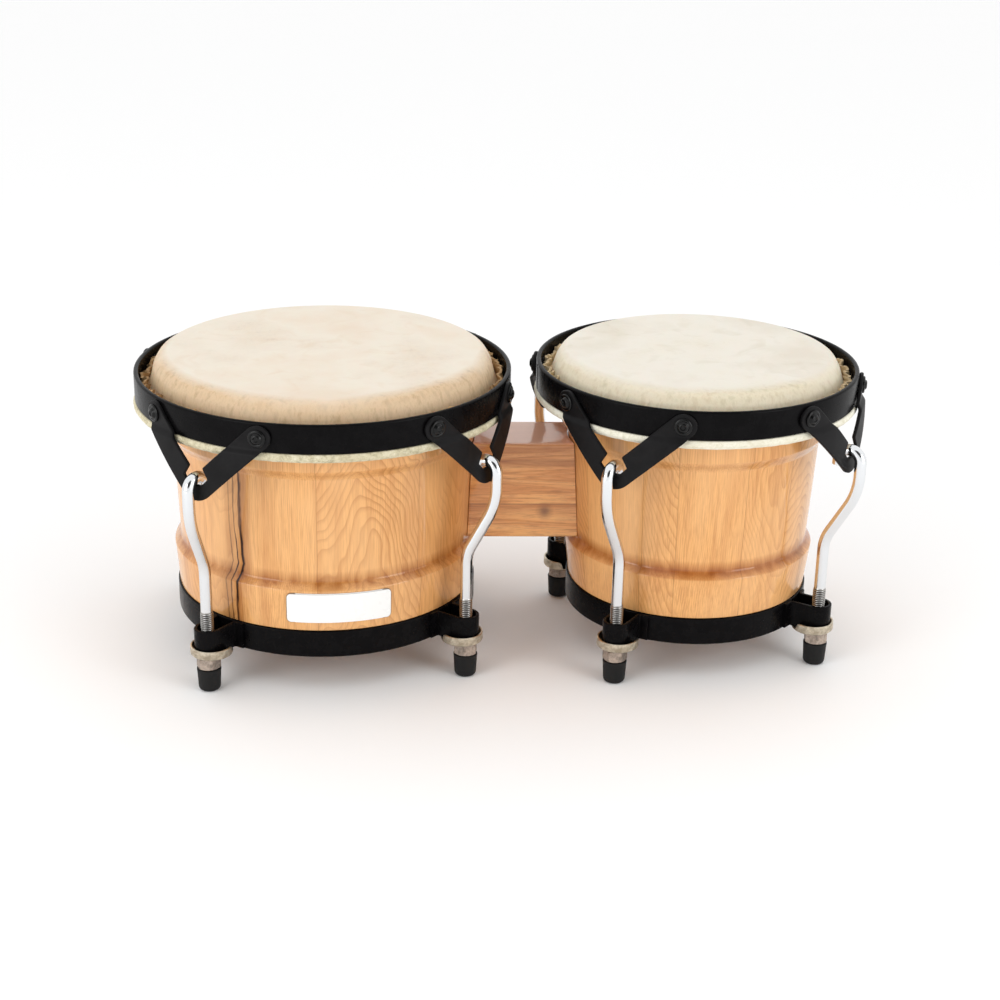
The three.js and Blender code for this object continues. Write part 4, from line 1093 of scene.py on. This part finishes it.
def block_piece():
    """The block between the drums, its ends hollowed to sit against the two shells."""
    low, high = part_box("centre_block")
    large, small = DRUMS["large"], DRUMS["small"]
    half, bottom, top = (high.y - low.y) / 2 / MM, low.z / MM, high.z / MM
    centre = (low + high) / 2
    level = (top + bottom) / 2
    corners = [(-half, bottom), (half, bottom), (half, top), (-half, top)]
    section = close_rows(rounded(corners, (1.2,) * 4, 4), 3)
    count = len(section)

    def end_x(drum, y, z):
        share = clamped((z - WAIST_BASE) / (WAIST_TOP - WAIST_BASE))
        radius = drum["waist_base"] + (drum["waist_top"] - drum["waist_base"]) * share + GAP
        return drum["axis"].x / MM + drum["block"] * math.sqrt(radius ** 2 - y * y)

    def end_ring(drum, share, inset):
        return [(end_x(drum, y * share, z) + drum["block"] * inset, y * share, (z - level) * share + level)
                for y, z in section]

    rings = [end_ring(large, 0.97, 0), end_ring(large, 1, BLOCK_EASE)]
    for share in np.linspace(0, 1, 12)[1:-1]:
        rings.append([])
        for y, z in section:
            start, end = end_x(large, y, z) + BLOCK_EASE, end_x(small, y, z) - BLOCK_EASE
            rings[-1].append((start + share * (end - start), y, z))
    rings += [end_ring(small, 1, BLOCK_EASE), end_ring(small, 0.97, 0)]
    points = [point for ring in rings for point in ring]
    faces = [face[::-1] for face in grid_faces(len(rings), count, False, True)]
    for first, drum in ((0, large), ((len(rings) - 1) * count, small)):
        order = -drum["block"]
        previous = list(range(first, first + count))
        for shrink in (0.75, 0.5, 0.25, 0.05):
            current = list(range(len(points), len(points) + count))
            for y, z in section:
                y, z = y * shrink, (z - level) * shrink + level
                points.append((end_x(drum, y, z), y, z))
            for k in range(count):
                across = (k + 1) % count
                faces.append((previous[k], previous[across], current[across], current[k])[::order])
            previous = current
        faces.append(tuple(previous)[::order])
    block = new_piece("bridge_block", [(np.array(points) - np.array(centre) / MM, faces)], 40)
    block.location = centre
    finish_piece(block, "shells", BLOCK, "block_wood", "centre_block")


def bolt_pieces(size, drum):
    """Hexagon bolts and washers inside the shell, pointing into the block."""
    for side in ("lower", "upper"):
        bolt_box, washer_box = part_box(f"{size}_block_bolt_{side}"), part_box(f"{size}_bolt_washer_{side}")
        length, thick = ((high.x - low.x) / MM for low, high in (bolt_box, washer_box))
        shank = rounded([(0.05, 5), (THREAD, 5), (THREAD, length), (0.05, length)], (0, 0, 0.8, 0), 3)
        washer = rounded([(4.4, 0), (WASHER_RADIUS, 0), (WASHER_RADIUS, thick), (4.4, thick)],
                         (0.2, 0.3, 0.3, 0.2), 2)
        tilt = Matrix.Rotation(drum["block"] * math.pi / 2, 4, "Y")
        centre = (bolt_box[0] + bolt_box[1]) / 2
        for name, parts, crease, box, node in (
                ("hex_bolt", [hexagon_parts(0, BOLT_HEAD), turned(shank, 32, solid=True)], 35, bolt_box,
                 "block_bolt"),
                ("flat_washer", [turned(washer, 48)], 50, washer_box, "bolt_washer")):
            piece = new_piece(f"{size}_{name}_{side}", parts, crease)
            seat = box[0].x if drum["block"] > 0 else box[1].x
            piece.matrix_world = Matrix.Translation((seat, centre.y, centre.z)) @ tilt
            finish_piece(piece, "shells", BOLT_ZINC, "zinc_steel", f"{size}_{node}_{side}")


# ---- badge ----

def badge_piece():
    """A blank plate with rounded corners, bent to the lower band, with a thin line of painted shade round its
    edge.
    """
    drum = DRUMS["large"]
    low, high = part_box("badge")
    height, middle, bevel = (high.z - low.z) / MM, (low.z + high.z) / 2 / MM, 0.25

    def outline(inset):
        points = []
        for cx, cy, start in ((1, -1, -90), (1, 1, 0), (-1, 1, 90), (-1, -1, 180)):
            corner = (cx * (BADGE_WIDTH / 2 - BADGE_CORNER), cy * (height / 2 - BADGE_CORNER))
            points += arc(corner, BADGE_CORNER - inset, math.radians(start), math.radians(start + 90), 6)
        return points

    def bent(x, y, out):
        z = middle + y
        share = (z - drum["ring_top"] - GAP) / (BAND_TOP - drum["ring_top"] - GAP)
        base = drum["ring"] - 1.1
        seat = base + (drum["band"] - base) * share + GAP
        spot = unit(math.radians(BADGE_TURN) + x / seat) * (seat + out)
        return spot[0], spot[1], z

    levels = ((0, 0), (0, BADGE_WALL - bevel), (bevel, BADGE_WALL), (bevel + 0.3, BADGE_WALL))
    points = [bent(x, y, out) for inset, out in levels for x, y in outline(inset)]
    count = len(points) // len(levels)
    parts = [(points, grid_faces(len(levels), count, False, True))]
    for (inset, out), order in ((levels[-1], 1), (levels[0], -1)):
        flat = flat_sheet(outline(inset), [((x, 0, 0), (1, 0, 0)) for x in np.arange(-30, 31, 2.5)])
        faces = [tuple(v.index for v in face.verts)[::order] for face in flat.faces]
        parts.append(([bent(v.co.x, v.co.y, out) for v in flat.verts], faces))
        flat.free()
    badge = new_piece("blank_badge", parts, 40)
    # painted shade: the rim's points are marked for a brown-grey line round the edge
    mark(badge, "painted_edge_shade", [1 if i < 3 * count else 0 for i in range(len(badge.data.vertices))])
    finish_piece(place(badge, drum), "shells", BADGE, "badge_plastic", "badge")


# ---- build ----

for size, drum in DRUMS.items():
    for build in (shell_piece, head_piece, lap_piece, trim_piece, hoop_piece, plate_pieces, rod_pieces,
                  ring_piece, lug_hardware, bolt_pieces):
        build(size, drum)
block_piece()
badge_piece()


# ---- floor, light and camera ----

def studio_floor():
    corners = [(-6000, -6000, 0), (6000, -6000, 0), (6000, 6000, 0), (-6000, 6000, 0)]
    floor = new_piece("studio_floor", [(corners, [(0, 1, 2, 3)])])
    paper = new_finish("white_paper_sweep", Roughness=0.9, IOR=1.3, Base_Color="#FCFCFC")[0]
    floor.data.materials.append(paper)


def soft_light(name, spot, size, power):
    """A rectangular soft box aimed at the middle of the drums."""
    data = bpy.data.lights.new(name, "AREA")
    data.shape = "RECTANGLE"
    data.size, data.size_y = size
    data.energy = power
    light = bpy.data.objects.new(name, data)
    light.location = spot
    light.rotation_euler = (Vector((0, 0, 0.1)) - Vector(spot)).to_track_quat("-Z", "Y").to_euler()
    bpy.context.scene.collection.objects.link(light)


def studio_camera():
    """A short telephoto, a little above the drums and slightly to the left of their middle."""
    azimuth, elevation, roll = math.radians(1.72), math.radians(22.65), math.radians(0.78)
    level = math.cos(elevation)
    back = Vector((-math.sin(azimuth) * level, -math.cos(azimuth) * level, math.sin(elevation)))
    right = Vector((math.cos(azimuth), -math.sin(azimuth), 0))
    up = back.cross(right)
    rolled_right = right * math.cos(roll) + up * math.sin(roll)
    rolled_up = up * math.cos(roll) - right * math.sin(roll)
    data = bpy.data.cameras.new("studio_camera")
    data.sensor_width = 36
    data.lens = 70.08
    data.shift_x = 0.02745
    data.shift_y = 0.0342
    data.clip_end = 50
    camera = bpy.data.objects.new("studio_camera", data)
    turn = Matrix((rolled_right, rolled_up, back)).transposed().to_4x4()
    spot = DRUMS["large"]["axis"] + Vector((58.13, -1135.37, 538.29)) * MM
    camera.matrix_world = Matrix.Translation(spot) @ turn
    bpy.context.scene.collection.objects.link(camera)
    bpy.context.scene.camera = camera


def white_studio():
    """White all round, except for the unlit room in front of the drums."""
    world = bpy.data.worlds.new("white_studio")
    world.use_nodes = True
    node = partial(add, world.node_tree)
    facing = node("VectorMath", {0: node("TexCoord", out="Generated"), 1: (0.05, -0.82, 0.57)},
                  operation="DOT_PRODUCT", out="Value")
    background = world.node_tree.nodes["Background"]
    background.inputs["Color"].default_value = (1, 1, 1, 1)
    feed(background, Strength=node("MapRange", {0: facing, 1: 0.9, 2: 0.95, 3: 1.08, 4: 0.05}))
    bpy.context.scene.world = world


studio_floor()
studio_camera()
white_studio()
bpy.context.scene.view_settings.view_transform = "Standard"
soft_light("left_softbox", (-1.2, -1.0, 0.6), (0.8, 0.9), 6.5)
soft_light("right_softbox", (1.2, -1.0, 0.55), (0.6, 0.9), 5.5)
